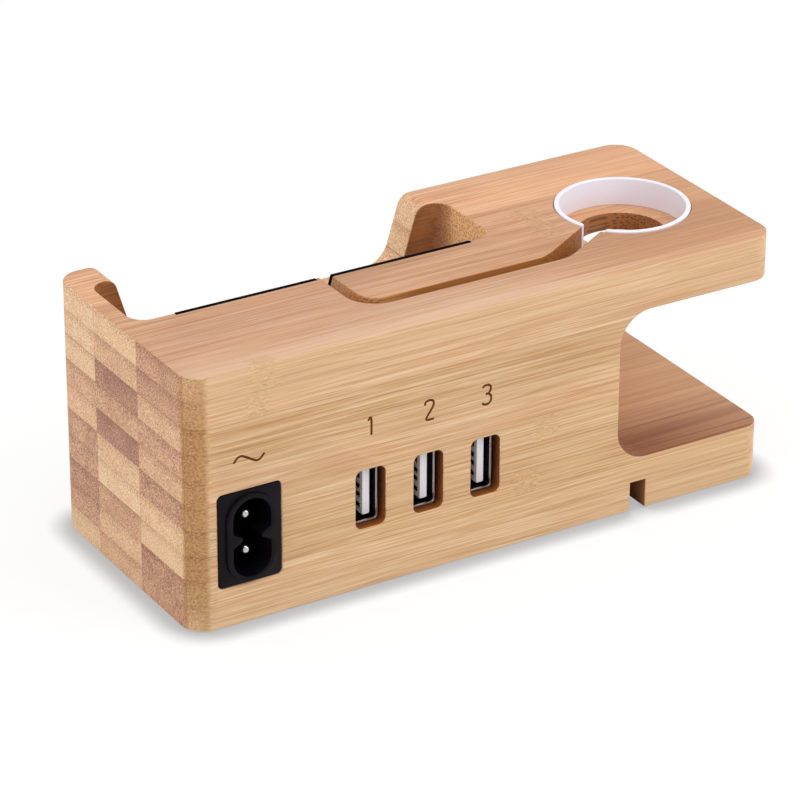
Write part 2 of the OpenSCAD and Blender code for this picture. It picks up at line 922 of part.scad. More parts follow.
// Round-tipped pin with a flat tab for the lead at its inner end
module inlet_pin() {
    tip = pin_d / 2;
    translate([0, inlet_back, 0])
        rotate([-90, 0, 0]) {
            cylinder(h = pin_tip - tip - inlet_back, d = pin_d);
            translate([0, 0, pin_tip - tip - inlet_back])
                sphere(tip);
        }
    span([-tab_w / 2, tab_end, -tab_t / 2], [tab_w / 2, inlet_back, tab_t / 2]);
}

module inlet_pins() {
    color(metal_c)
        seated()
            for (z = [-1, 1] * pin_pitch / 2)
                translate([inlet_x, 0, inlet_z + z])
                    inlet_pin();
}

// USB sockets

module usb_shell(i) {
    inner_w = shell_w - 2 * shell_t;
    inner_h = shell_h - 2 * shell_t;
    color(metal_c)
        seated()
            translate([port_xs[i], 0, port_z])
                difference() {
                    bar_y(shell_back, shell_front)
                        round_rect(shell_w, shell_h, 0.7);
                    bar_y(shell_back + shell_t, shell_front + past)
                        round_rect(inner_w, inner_h, 0.4);
                }
}

module usb_insert(i) {
    inner_w = shell_w - 2 * shell_t;
    inner_h = shell_h - 2 * shell_t;
    color(white_c)
        seated()
            translate([port_xs[i], 0, port_z])
                union() {
                    bar_y(shell_back + shell_t, shell_back + shell_t + insert_base_l)
                        round_rect(inner_w, inner_h, 0.4);
                    span([tongue_x0, shell_back + shell_t, -tongue_h / 2],
                        [tongue_x1, tongue_front, tongue_h / 2]);
                }
}

module usb_contacts(i) {
    y1 = tongue_front - 0.8;
    color(gold_c)
        seated()
            for (z = contact_zs)
                translate([port_xs[i], 0, port_z + z])
                    span([tongue_x1, y1 - contact_l, -contact_w / 2],
                        [tongue_x1 + contact_t, y1, contact_w / 2]);
}

module usb_shell_1() {
    usb_shell(0);
}

module usb_shell_2() {
    usb_shell(1);
}

module usb_shell_3() {
    usb_shell(2);
}

module usb_insert_1() {
    usb_insert(0);
}

module usb_insert_2() {
    usb_insert(1);
}

module usb_insert_3() {
    usb_insert(2);
}

module usb_contacts_1() {
    usb_contacts(0);
}

module usb_contacts_2() {
    usb_contacts(1);
}

module usb_contacts_3() {
    usb_contacts(2);
}

// Circuit board

module circuit_board() {
    color(board_c)
        seated()
            difference() {
                span([board_x0, board_y0, board_z], [board_x1, board_y1, board_top]);
                for (x = post_xs, y = post_ys)
                    post(x, y, board_z - past, board_top + past, board_screw_d + 2 * pin_clear);
            }
}

module board_screws() {
    color(metal_c)
        seated()
            for (x = post_xs, y = post_ys)
                translate([x, y, board_top])
                    difference() {
                        union() {
                            cylinder(h = board_head_h, d = board_head_d);
                            translate([0, 0, -board_screw_l])
                                cylinder(h = board_screw_l + 0.1, d = board_screw_d);
                        }
                        translate([-0.6 * board_head_d / 2, -0.25, board_head_h / 2])
                            cube([0.6 * board_head_d, 0.5, board_head_h]);
                    }
}

// Mains side

module mains_terminal() {
    lead_z = board_top + terminal_h / 2;
    x1 = terminal_x + terminal_w / 2;
    color("darkgreen")
        seated()
            difference() {
                span([terminal_x - terminal_w / 2, terminal_y - terminal_d / 2, board_top],
                    [x1, terminal_y + terminal_d / 2, board_top + terminal_h]);
                for (s = [-1, 1])
                    translate([x1 - lead_in - 0.3, terminal_y + s * terminal_pitch / 2, lead_z])
                        rotate([0, 90, 0])
                            cylinder(h = lead_in + past, d = lead_d + 4 * pin_clear);
                for (s = [-1, 1])
                    post(terminal_x, terminal_y + s * terminal_pitch / 2,
                        board_top + terminal_h - 1, board_top + terminal_h + past, terminal_screw_d);
            }
}

function bend(p, t) = p[0] * pow(1 - t, 3) + 3 * p[1] * t * pow(1 - t, 2)
    + 3 * p[2] * pow(t, 2) * (1 - t) + p[3] * pow(t, 3);
function bend_dir(p, t) = 3 * (p[1] - p[0]) * pow(1 - t, 2)
    + 6 * (p[2] - p[1]) * t * (1 - t) + 3 * (p[3] - p[2]) * pow(t, 2);
function unit(v) = v / norm(v);

// A lead along a smooth bend through four control points
module lead(p, d) {
    sides = 10;
    rings = 14;
    points = [
        for (i = [0:rings])
            let (t = i / rings, c = bend(p, t), along = unit(bend_dir(p, t)))
                let (a = unit(cross(along, [0, 0, 1])), b = cross(a, along))
                    for (k = [0:sides - 1])
                        c + d / 2 * (a * cos(360 * k / sides) + b * sin(360 * k / sides))
    ];
    faces = [
        for (i = [0:rings - 1], k = [0:sides - 1])
            let (n = (k + 1) % sides)
                [i * sides + k, i * sides + n, (i + 1) * sides + n, (i + 1) * sides + k],
        [for (k = [sides - 1:-1:0]) k],
        [for (k = [0:sides - 1]) rings * sides + k]
    ];
    polyhedron(points, faces, convexity = 4);
}

function lead_points(s) = [
    [inlet_x, tab_end, inlet_z + s * pin_pitch / 2],
    [inlet_x, tab_end - lead_start, inlet_z + s * pin_pitch / 2],
    [terminal_x + terminal_w / 2 + lead_run, terminal_y - s * terminal_pitch / 2,
        board_top + terminal_h / 2],
    [terminal_x + terminal_w / 2 - lead_in, terminal_y - s * terminal_pitch / 2,
        board_top + terminal_h / 2]
];

module lead_live() {
    color("saddlebrown")
        seated()
            lead(lead_points(1), lead_d);
}

module lead_neutral() {
    color("steelblue")
        seated()
            lead(lead_points(-1), lead_d);
}

module mains_fuse() {
    color(black_c)
        seated()
            post(fuse_x, fuse_y, board_top, board_top + fuse_h, fuse_d);
}

module filter_capacitor() {
    color(yellow_c)
        seated()
            translate([filter_x, filter_y, board_top])
                linear_extrude(filter_h)
                    round_rect(filter_l, filter_w, 0.5);
}

// Ring of the mains filter, lying on the board
module choke_core() {
    lift = choke_wire;
    color(ferrite_c)
        seated()
            translate([choke_x, choke_y, board_top + lift])
                difference() {
                    cylinder(h = choke_h, d = choke_d);
                    translate([0, 0, -past])
                        cylinder(h = choke_h + 2 * past, d = choke_hole_d);
                }
}

// Two windings, each wrapped round a part of the ring
module choke_winding() {
    sweep = 130;
    color(copper_c)
        seated()
            translate([choke_x, choke_y, board_top])
                for (turn = [-sweep / 2, 180 - sweep / 2])
                    rotate(turn)
                        rotate_extrude(angle = sweep)
                            difference() {
                                translate([choke_hole_d / 2 - choke_wire, 0])
                                    square([(choke_d - choke_hole_d) / 2 + 2 * choke_wire,
                                        choke_h + 2 * choke_wire]);
                                translate([choke_hole_d / 2, choke_wire])
                                    square([(choke_d - choke_hole_d) / 2, choke_h]);
                            }
}

module bridge_rectifier() {
    color(black_c)
        seated()
            span([bridge_x - bridge_l / 2, bridge_y - bridge_w / 2, board_top],
                [bridge_x + bridge_l / 2, bridge_y + bridge_w / 2, board_top + bridge_h]);
}

module storage_capacitors() {
    color([0.15, 0.2, 0.35])
        seated()
            for (y = storage_ys)
                post(storage_x, y, board_top, board_top + bulk_h, bulk_d);
}

// Transformer: a core with an upright middle leg, a bobbin round the leg and a winding on it

module transformer_core() {
    color(ferrite_c)
        seated()
            translate([transformer_x, transformer_y, board_top + bobbin_base])
                bar_y(-core_t / 2, core_t / 2)
                    difference() {
                        translate([-core_w / 2, 0])
                            square([core_w, core_h]);
                        for (s = [-1, 1])
                            translate([s * (core_leg + core_window) / 2 - core_window / 2, core_yoke])
                                square([core_window, core_h - 2 * core_yoke]);
                    }
}

// Plan of the winding space, larger than the leg by a margin on each side
module spool_plan(margin, r) {
    round_rect(core_leg + 2 * margin, core_t + 2 * margin, r);
}

module transformer_bobbin() {
    block_w2 = winding_l / 2;
    color(black_c)
        seated()
            translate([transformer_x, transformer_y, 0])
                difference() {
                    union() {
                        translate([0, 0, spool_z])
                            linear_extrude(spool_h)
                                spool_plan(fit + bobbin_wall, 0.5);
                        for (z = [spool_z, spool_z + spool_h - flange_t])
                            translate([0, 0, z])
                                linear_extrude(flange_t)
                                    spool_plan(spool_reach - fit, 0.8);
                        span([-core_w / 2, -block_w2, board_top],
                            [core_w / 2, block_w2, board_top + bobbin_base]);
                        for (s = [0, 1])
                            mirror([0, s, 0])
                                span([-core_w / 2 + core_side, core_t / 2 + fit, board_top],
                                    [core_w / 2 - core_side, block_w2, spool_z]);
                    }
                    translate([0, 0, spool_z - fit])
                        linear_extrude(spool_h + 2 * fit)
                            square([core_leg + 2 * fit, core_t + 2 * fit], center = true);
                }
}

module transformer_winding() {
    color(yellow_c)
        seated()
            translate([transformer_x, transformer_y, spool_z + flange_t])
                linear_extrude(spool_h - 2 * flange_t)
                    difference() {
                        spool_plan(spool_reach - 2 * fit, 1.2);
                        spool_plan(fit + bobbin_wall, 0.5);
                    }
}

module controller_chip() {
    color(black_c)
        seated()
            difference() {
                span([chip_x - chip_w / 2, chip_y - chip_l / 2, board_top],
                    [chip_x + chip_w / 2, chip_y + chip_l / 2, board_top + chip_h]);
                post(chip_x, chip_y + chip_l / 2, board_top + chip_h - 0.4, board_top + chip_h + past, 1.6);
            }
}

module optocoupler() {
    color(white_c)
        seated()
            span([coupler_x - coupler_l / 2, coupler_y - coupler_w / 2, board_top],
                [coupler_x + coupler_l / 2, coupler_y + coupler_w / 2, board_top + chip_h]);
}

// Disc capacitor between the two sides, standing on its two legs
module safety_capacitor() {
    leg = 0.7;
    stand = 1.2;
    color("steelblue")
        seated()
            translate([safety_x, safety_y, board_top]) {
                translate([0, 0, stand + safety_d / 2])
                    rotate([90, 0, 0])
                        cylinder(h = safety_t, d = safety_d, center = true);
                for (s = [-1, 1])
                    translate([s * safety_d / 4 - leg / 2, -leg / 2, 0])
                        cube([leg, leg, stand + safety_d / 2]);
            }
}

// Output side

module output_diode() {
    color(black_c)
        seated()
            span([diode_x - diode_t / 2, sink_y - diode_w / 2, board_top],
                [diode_x + diode_t / 2, sink_y + diode_w / 2, board_top + diode_h]);
}

module heat_sink() {
    color(metal_c)
        seated()
            translate([sink_x, sink_y - sink_w / 2, board_top]) {
                cube([sink_t, sink_w, sink_h]);
                for (i = [0:fin_n - 1])
                    translate([-fin_l, i * (sink_w - fin_t) / (fin_n - 1), 0])
                        cube([fin_l + 0.1, fin_t, sink_h]);
            }
}

module output_capacitors() {
    color([0.15, 0.2, 0.35])
        seated()
            for (x = output_xs)
                post(x, output_y, board_top, board_top + output_h, output_d);
}

module output_coil() {
    color(copper_c)
        seated()
            post(coil_x, coil_y, board_top, board_top + coil_h, coil_d);
}

bamboo_body();
watch_ring();
phone_pad_inlet_side();
phone_pad_watch_side();
base_cover();
cover_screws();
rubber_feet();
inlet_housing();
inlet_pins();
usb_shell_1();
usb_shell_2();
usb_shell_3();
usb_insert_1();
usb_insert_2();
usb_insert_3();
usb_contacts_1();
usb_contacts_2();
usb_contacts_3();
circuit_board();
board_screws();
mains_terminal();
lead_live();
lead_neutral();
mains_fuse();
choke_core();
choke_winding();
filter_capacitor();
bridge_rectifier();
storage_capacitors();
transformer_core();
transformer_bobbin();
transformer_winding();
controller_chip();
optocoupler();
safety_capacitor();
heat_sink();
output_diode();
output_capacitors();
output_coil();
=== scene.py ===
"""Looks of a bamboo charging block: laminated body, watch ring, pads, mains inlet, USB sockets.

Everything is in metres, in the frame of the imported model. Sizes named _mm are in millimetres.
"""

import json
import logging
import math
from dataclasses import dataclass, field
from enum import Enum
from functools import reduce

import bmesh
import bpy
import numpy as np
from mathutils import Matrix, Vector

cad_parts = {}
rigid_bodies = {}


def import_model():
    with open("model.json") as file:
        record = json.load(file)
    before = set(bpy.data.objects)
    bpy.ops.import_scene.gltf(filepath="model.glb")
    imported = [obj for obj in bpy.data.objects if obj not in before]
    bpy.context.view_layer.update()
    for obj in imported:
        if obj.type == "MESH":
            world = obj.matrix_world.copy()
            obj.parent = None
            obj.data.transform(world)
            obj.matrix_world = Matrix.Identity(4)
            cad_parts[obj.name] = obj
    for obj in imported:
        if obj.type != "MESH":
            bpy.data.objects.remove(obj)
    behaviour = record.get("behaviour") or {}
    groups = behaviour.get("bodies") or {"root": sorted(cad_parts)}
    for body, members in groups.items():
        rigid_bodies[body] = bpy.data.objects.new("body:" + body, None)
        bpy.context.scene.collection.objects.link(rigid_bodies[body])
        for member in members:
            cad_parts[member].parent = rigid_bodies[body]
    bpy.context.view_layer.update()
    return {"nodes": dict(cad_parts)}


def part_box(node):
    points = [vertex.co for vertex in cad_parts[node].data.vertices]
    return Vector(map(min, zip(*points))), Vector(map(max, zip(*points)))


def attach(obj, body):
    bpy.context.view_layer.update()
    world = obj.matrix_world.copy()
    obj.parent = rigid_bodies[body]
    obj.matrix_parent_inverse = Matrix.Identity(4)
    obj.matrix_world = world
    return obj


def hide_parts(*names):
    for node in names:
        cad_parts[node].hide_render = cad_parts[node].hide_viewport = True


log = logging.getLogger("charging_block")

MM = 0.001
TO_MM = 1000.0
BODY = "root"
REAR_MM = 29.75
TOP_MM = 59.7
SOCKETS_X_MM = (30.25, 15.9, 1.55)

Socket = bpy.types.NodeSocket
Rgb = tuple[float, float, float]
Rgba = tuple[float, float, float, float]
Point = tuple[float, float, float]
Stops = tuple[tuple[float, Rgb], ...]
Fade = tuple[float, float]  # where a mask is 0, and where it is 1


def clear_scene() -> None:
    """Removes what Blender's start file holds."""
    for found in list(bpy.data.objects):
        bpy.data.objects.remove(found, do_unlink=True)


clear_scene()
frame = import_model()


def linear(value: float) -> float:
    """Turns a 0 to 255 display value into a linear share."""
    share = value / 255
    return share / 12.92 if share <= 0.04045 else ((share + 0.055) / 1.055) ** 2.4


def srgb(red: float, green: float, blue: float) -> Rgba:
    """Turns 0 to 255 display values into a linear colour with an alpha of 1."""
    return (linear(red), linear(green), linear(blue), 1.0)


class Num:
    """A number that varies over a surface, with plain arithmetic that adds math nodes."""

    def __init__(self, graph: "Graph", socket: Socket) -> None:
        """Keeps the graph and the output socket."""
        self.graph = graph
        self.socket = socket

    def op(self, name: str, *others: "Num | float") -> "Num":
        """Adds one math node with this number as its first input."""
        return self.graph.math(name, self, *others)

    def __add__(self, other: "Num | float") -> "Num":
        """Sum."""
        return self.op("ADD", other)

    def __sub__(self, other: "Num | float") -> "Num":
        """Difference."""
        return self.op("SUBTRACT", other)

    def __mul__(self, other: "Num | float") -> "Num":
        """Product."""
        return self.op("MULTIPLY", other)

    def __truediv__(self, other: "Num | float") -> "Num":
        """Quotient."""
        return self.op("DIVIDE", other)

    def floor(self) -> "Num":
        """Whole part."""
        return self.op("FLOOR")

    def fract(self) -> "Num":
        """Part after the point."""
        return self.op("FRACT")

    def abs(self) -> "Num":
        """Size without sign."""
        return self.op("ABSOLUTE")

    def min(self, other: "Num | float") -> "Num":
        """The smaller of two."""
        return self.op("MINIMUM", other)

    def max(self, other: "Num | float") -> "Num":
        """The larger of two."""
        return self.op("MAXIMUM", other)

    def inverse(self) -> "Num":
        """One minus this number."""
        return self.graph.math("SUBTRACT", 1.0, self)

    def toward(self, target: float, share: "Num") -> "Num":
        """This number where share is 0, and target where it is 1."""
        return self + share * (self.inverse() + (target - 1.0))

    def step(self, low: float, high: float) -> "Num":
        """Smooth rise from 0 at low to 1 at high, or a fall where high is the smaller."""
        return self.graph.smooth(self, low, high)


Value = Num | float


class Graph:
    """Adds nodes to a tree and returns their outputs."""

    def __init__(self, tree: bpy.types.NodeTree) -> None:
        """Keeps the tree."""
        self.tree = tree

    def node(self, kind: str, **settings: object) -> bpy.types.Node:
        """Adds a node and sets its properties.

        Args:
            kind: Blender's node type.
            **settings: Properties of the node.

        Returns:
            The node.
        """
        made = self.tree.nodes.new(kind)
        for name, value in settings.items():
            setattr(made, name, value)
        return made

    def feed(self, socket: Socket, value: object) -> None:
        """Links an output to a socket, or sets the socket's own value.

        Args:
            socket: The input.
            value: A varying number, an output, or a plain value.
        """
        if isinstance(value, Num):
            value = value.socket
        if isinstance(value, Socket):
            self.tree.links.new(value, socket)
        else:
            socket.default_value = value

    def math(self, name: str, *values: Value) -> Num:
        """Adds a math node.

        Args:
            name: Blender's name of the operation.
            *values: Its inputs in order.

        Returns:
            The result.
        """
        made = self.node("ShaderNodeMath", operation=name)
        for socket, value in zip(made.inputs, values):
            self.feed(socket, value)
        return Num(self, made.outputs[0])

    def smooth(self, value: Num, low: float, high: float) -> Num:
        """Maps low to 0 and high to 1 with a smooth step.

        Args:
            value: What is mapped.
            low: Where the result is 0.
            high: Where the result is 1.

        Returns:
            The smooth step.
        """
        made = self.node("ShaderNodeMapRange", interpolation_type="SMOOTHSTEP")
        ends = (low, high, 0.0, 1.0) if low < high else (high, low, 1.0, 0.0)
        self.feed(made.inputs["Value"], value)
        for name, end in zip(("From Min", "From Max", "To Min", "To Max"), ends):
            made.inputs[name].default_value = end
        return Num(self, made.outputs["Result"])

    def split(self, vector: Socket) -> tuple[Num, Num, Num]:
        """Takes a vector apart.

        Args:
            vector: The vector.

        Returns:
            Its three parts.
        """
        made = self.node("ShaderNodeSeparateXYZ")
        self.feed(made.inputs[0], vector)
        return tuple(Num(self, out) for out in made.outputs)

    def join(self, x: Value, y: Value, z: Value) -> Socket:
        """Puts a vector together.

        Args:
            x: First part.
            y: Second part.
            z: Third part.

        Returns:
            The vector.
        """
        made = self.node("ShaderNodeCombineXYZ")
        for socket, value in zip(made.inputs, (x, y, z)):
            self.feed(socket, value)
        return made.outputs[0]

    def noise(self, vector: Socket, scale: float, detail: float = 2.0, rough: float = 0.5) -> Num:
        """Adds a noise texture.

        Args:
            vector: Where it is looked up.
            scale: How fine it is.
            detail: How many finer layers are added.
            rough: Share of each finer layer.

        Returns:
            The noise, from 0 to 1.
        """
        made = self.node("ShaderNodeTexNoise")
        self.feed(made.inputs["Vector"], vector)
        made.inputs["Scale"].default_value = scale
        made.inputs["Detail"].default_value = detail
        made.inputs["Roughness"].default_value = rough
        return Num(self, made.outputs["Fac"])

    def noise_at(
        self, x: Value, y: Value, z: Value, detail: float = 2.0, rough: float = 0.5
    ) -> Num:
        """Noise at a place that is given by its parts, in units of the noise's own lumps."""
        return self.noise(self.join(x, y, z), 1.0, detail, rough)

    def dots(self, x: Value, y: Value) -> Num:
        """Adds a flat pattern of uneven cells.

        Args:
            x: Place along the pattern.
            y: Place up the pattern.

        Returns:
            The distance from the nearest cell's centre.
        """
        made = self.node("ShaderNodeTexVoronoi", voronoi_dimensions="2D")
        self.feed(made.inputs["Vector"], self.join(x, y, 0.0))
        made.inputs["Scale"].default_value = 1.0
        made.inputs["Randomness"].default_value = 0.9
        return Num(self, made.outputs["Distance"])

    def draw(self, x: Value, y: Value, seed: float) -> tuple[Num, Num, Num]:
        """Draws three random numbers for a pair of whole numbers.

        Args:
            x: First whole number.
            y: Second whole number.
            seed: Picks another draw.

        Returns:
            Three numbers from 0 to 1.
        """
        made = self.node("ShaderNodeTexWhiteNoise", noise_dimensions="3D")
        self.feed(made.inputs["Vector"], self.join(x, y, seed))
        parts = self.node("ShaderNodeSeparateColor")
        self.feed(parts.inputs[0], made.outputs["Color"])
        return tuple(Num(self, out) for out in parts.outputs[:3])

    def ramp(self, factor: Value, stops: Stops) -> Socket:
        """Looks a number up in a row of colours.

        Args:
            factor: The number.
            stops: Pairs of place and displayed colour.

        Returns:
            The colour.
        """
        made = self.node("ShaderNodeValToRGB")
        elements = made.color_ramp.elements
        while len(elements) < len(stops):
            elements.new(1.0)
        for element, (place, color) in zip(elements, stops):
            element.position = place
            element.color = srgb(*color)
        self.feed(made.inputs[0], factor)
        return made.outputs["Color"]

    def mix(self, factor: Value, first: object, second: object, how: str = "MIX") -> Socket:
        """Mixes two colours.

        Args:
            factor: Share of the second.
            first: The first colour.
            second: The second colour.
            how: Blender's name of the way they mix.

        Returns:
            The colour.
        """
        made = self.node("ShaderNodeMix", data_type="RGBA", blend_type=how)
        self.feed(made.inputs[0], factor)
        self.feed(made.inputs[6], first)
        self.feed(made.inputs[7], second)
        return made.outputs[2]

    def bump(self, height: Value, depth: float) -> Socket:
        """Turns a height into a normal.

        Args:
            height: The height.
            depth: Metres that a height of 1 stands for.

        Returns:
            The normal.
        """
        made = self.node("ShaderNodeBump")
        made.inputs["Strength"].default_value = 1.0
        made.inputs["Distance"].default_value = depth
        self.feed(made.inputs["Height"], height)
        return made.outputs["Normal"]

    def group(self, tree: bpy.types.NodeTree, **values: object) -> dict[str, Socket]:
        """Places a shared group with its own values.

        Args:
            tree: The group.
            **values: Its inputs by name.

        Returns:
            Its outputs by name.
        """
        made = self.node("ShaderNodeGroup", node_tree=tree)
        for name, value in values.items():
            self.feed(made.inputs[name], value)
        return {out.name: out for out in made.outputs}


class Effect(Enum):
    """Shared effects, each one node group."""

    MOULDED = "moulded_grain"
    BRUSHED = "drawn_metal"
    FIBRE = "bamboo_fibre"


FLOAT = "NodeSocketFloat"
VECTOR = "NodeSocketVector"
COLOR = "NodeSocketColor"
SURFACE_INPUTS = {"Vector": (VECTOR, None), "Color": (COLOR, (1.0, 1.0, 1.0, 1.0))}
SURFACE_OUTPUTS = {"Color": COLOR, "Roughness": FLOAT, "Height": FLOAT}


def new_group(
    effect: Effect, inputs: dict[str, tuple[str, object]], outputs: dict[str, str]
) -> tuple[Graph, bpy.types.Node]:
    """Starts a shader node group with named sockets.

    Args:
        effect: Which effect, whose value is the group's name.
        inputs: Socket kind and default by name.
        outputs: Socket kind by name.

    Returns:
        The graph of the group and its input node.
    """
    tree = bpy.data.node_groups.new(effect.value, "ShaderNodeTree")
    for name, (kind, default) in inputs.items():
        socket = tree.interface.new_socket(name, in_out="INPUT", socket_type=kind)
        if default is not None:
            socket.default_value = default
    for name, kind in outputs.items():
        tree.interface.new_socket(name, in_out="OUTPUT", socket_type=kind)
    graph = Graph(tree)
    return graph, graph.node("NodeGroupInput")


@dataclass
class Effects:
    """The node groups that several finishes share, each built when first asked for."""

    made: dict[Effect, bpy.types.NodeTree] = field(default_factory=dict)

    def get(self, effect: Effect) -> bpy.types.NodeTree:
        """Gives an effect's group.

        Args:
            effect: Which effect.

        Returns:
            The group.
        """
        if effect not in self.made:
            builders = {
                Effect.MOULDED: self.moulded,
                Effect.BRUSHED: self.brushed,
                Effect.FIBRE: self.fibre,
            }
            self.made[effect] = builders[effect]().tree
        return self.made[effect]

    @staticmethod
    def surface(graph: Graph, given: bpy.types.Node, shade: Num, rough: Num, height: Num) -> Graph:
        """Ends a group whose given colour is shaded.

        Args:
            graph: The group's graph.
            given: Its input node.
            shade: What the colour is multiplied by.
            rough: The roughness.
            height: The relief.

        Returns:
            The graph.
        """
        grey = graph.join(shade, shade, shade)
        out = graph.node("NodeGroupOutput")
        graph.feed(out.inputs["Color"], graph.mix(1.0, given.outputs["Color"], grey, "MULTIPLY"))
        graph.feed(out.inputs["Roughness"], rough)
        graph.feed(out.inputs["Height"], height)
        return graph

    def moulded(self) -> Graph:
        """Fine grain of a moulded surface, with faint uneven gloss.

        Returns:
            The group's graph.
        """
        inputs = SURFACE_INPUTS | {"Grain": (FLOAT, 2500.0), "Gloss": (FLOAT, 0.4)}
        graph, given = new_group(Effect.MOULDED, inputs, SURFACE_OUTPUTS)
        scaled = graph.node("ShaderNodeVectorMath", operation="SCALE")
        graph.feed(scaled.inputs[0], given.outputs["Vector"])
        graph.feed(scaled.inputs["Scale"], given.outputs["Grain"])
        grain = graph.noise(scaled.outputs[0], 1.0, 3.0, 0.6)
        smudge = graph.noise(given.outputs["Vector"], 120.0, 2.0)
        shade = grain * 0.06 + smudge * 0.06 + 0.94
        gloss = Num(graph, given.outputs["Gloss"])
        rough = gloss + (smudge - 0.5) * 0.14 + (grain - 0.5) * 0.05
        return self.surface(graph, given, shade, rough, grain)

    def brushed(self) -> Graph:
        """Draw marks of sheet metal and wire, long along Y, with faint tarnish.

        Returns:
            The group's graph.
        """
        inputs = SURFACE_INPUTS | {"Gloss": (FLOAT, 0.25)}
        graph, given = new_group(Effect.BRUSHED, inputs, SURFACE_OUTPUTS)
        x, y, z = graph.split(given.outputs["Vector"])
        lines = graph.noise_at(x * 9000.0, y * 500.0, z * 9000.0, 2.0, 0.6)
        tarnish = graph.noise(given.outputs["Vector"], 260.0, 3.0)
        shade = lines * 0.1 + tarnish * 0.12 + 0.84
        gloss = Num(graph, given.outputs["Gloss"])
        rough = gloss + (tarnish - 0.5) * 0.16 + (lines - 0.5) * 0.08
        return self.surface(graph, given, shade, rough, lines)

    @staticmethod
    def fibre() -> Graph:
        """Fibres of one bamboo strip, worked out as a solid.

        The vector is in millimetres. Every pattern is long along X, so the same solid gives long
        lines on faces along the grain, and specks and dots on faces across it.

        Returns:
            The group's graph.
        """
        names = ("Broad", "Streak", "Fine", "Hair", "Speck", "Dots", "Dense")
        inputs, outputs = {"Vector": (VECTOR, None)}, dict.fromkeys(names, FLOAT)
        graph, given = new_group(Effect.FIBRE, inputs, outputs)
        x, y, z = graph.split(given.outputs["Vector"])
        sway = (graph.noise_at(x * 0.02, y * 0.06, z * 0.06) - 0.5) * 1.6
        y, z = y + sway, z + sway
        patterns = (
            graph.noise_at(x * 0.008, y * 0.16, z * 0.22),
            graph.noise_at(x * 0.010, y * 0.75, z * 0.75, 4.0, 0.65),
            graph.noise_at(x * 0.030, y * 2.8, z * 2.8, 3.0, 0.6),
            graph.noise_at(x * 0.016 + 7.0, y * 1.5, z * 1.5, 1.0).step(0.40, 0.31),
            graph.noise_at(x * 0.6, y * 2.6, z * 2.6, 2.0, 0.6),
            graph.dots(y * 1.35, z * 1.35).step(0.42, 0.16),
            graph.dots(y * 2.3, z * 2.3).step(0.46, 0.2),
        )
        out = graph.node("NodeGroupOutput")
        for name, pattern in zip(names, patterns):
            graph.feed(out.inputs[name], pattern)
        return graph


EFFECTS = Effects()


def new_material(name: str) -> tuple[bpy.types.Material, Graph, bpy.types.Node, bpy.types.Node]:
    """Starts a material with a Principled BSDF and object coordinates.

    Args:
        name: The finish's name.

    Returns:
        The material, its graph, the shader node and the coordinate node.
    """
    material = bpy.data.materials.new(name)
    material.use_nodes = True
    tree = material.node_tree
    tree.nodes.clear()
    graph = Graph(tree)
    shader = graph.node("ShaderNodeBsdfPrincipled")
    out = graph.node("ShaderNodeOutputMaterial")
    tree.links.new(shader.outputs[0], out.inputs["Surface"])
    return material, graph, shader, graph.node("ShaderNodeTexCoord")


@dataclass(frozen=True)
class Finish:
    """A surface that shares one grain effect: plastics, rubbers and metals.

    Colours are as displayed. depth is the relief of the grain and stripes the pitch of a winding's
    turns, both in metres. The turns climb by slant along X and Y, and are dark between: painted
    shade. From mouth_mm inwards, a socket's sheet is dark with painted shade.
    """

    name: str
    color: Rgb
    gloss: float = 0.45
    grain: float = 2500.0
    depth: float = 0.00001
    metallic: float = 0.0
    specular: float = 0.4
    coat: float = 0.0
    effect: Effect = Effect.MOULDED
    stripes: float = 0.0
    slant: float = 0.35
    between: Rgb = (30, 18, 12)
    mouth_mm: float | None = None
    mouth_shade_fade_mm: Fade = (0.12, 0.5)
    mouth_shade_color: Rgb = (22, 18, 20)
    mouth_shade_share: float = 0.98

    def build(self) -> bpy.types.Material:
        """Makes the material.

        Returns:
            The material.
        """
        material, graph, shader, coords = new_material(self.name)
        place = coords.outputs["Object"]
        values: dict[str, object] = {"Gloss": self.gloss, "Color": srgb(*self.color)}
        if self.effect is Effect.MOULDED:
            values["Grain"] = self.grain
        made = graph.group(EFFECTS.get(self.effect), Vector=place, **values)
        color, height = made["Color"], Num(graph, made["Height"])
        if self.stripes:
            x, y, z = graph.split(place)
            turn = ((x + y) * self.slant + z) * (1 / self.stripes)
            wire = (turn.fract() - 0.5).abs() * 2.0
            # painted shade: the crevices between the turns are darkened
            color = graph.mix(wire.step(0.6, 1.0) * 0.6, color, srgb(*self.between))
            height = height * 0.2 + wire.inverse()
        if self.mouth_mm is not None:
            # painted shade: the socket's sheet darkens from its mouth inwards, as inside a deep
            # socket
            _, y, _ = graph.split(place)
            deep = (y * TO_MM).step(*(self.mouth_mm - in_mm for in_mm in self.mouth_shade_fade_mm))
            color = graph.mix(deep * self.mouth_shade_share, color, srgb(*self.mouth_shade_color))
        graph.feed(shader.inputs["Base Color"], color)
        graph.feed(shader.inputs["Roughness"], made["Roughness"])
        graph.feed(shader.inputs["Normal"], graph.bump(height, self.depth))
        shader.inputs["Metallic"].default_value = self.metallic
        shader.inputs["Specular IOR Level"].default_value = self.specular
        shader.inputs["Coat Weight"].default_value = self.coat
        return material


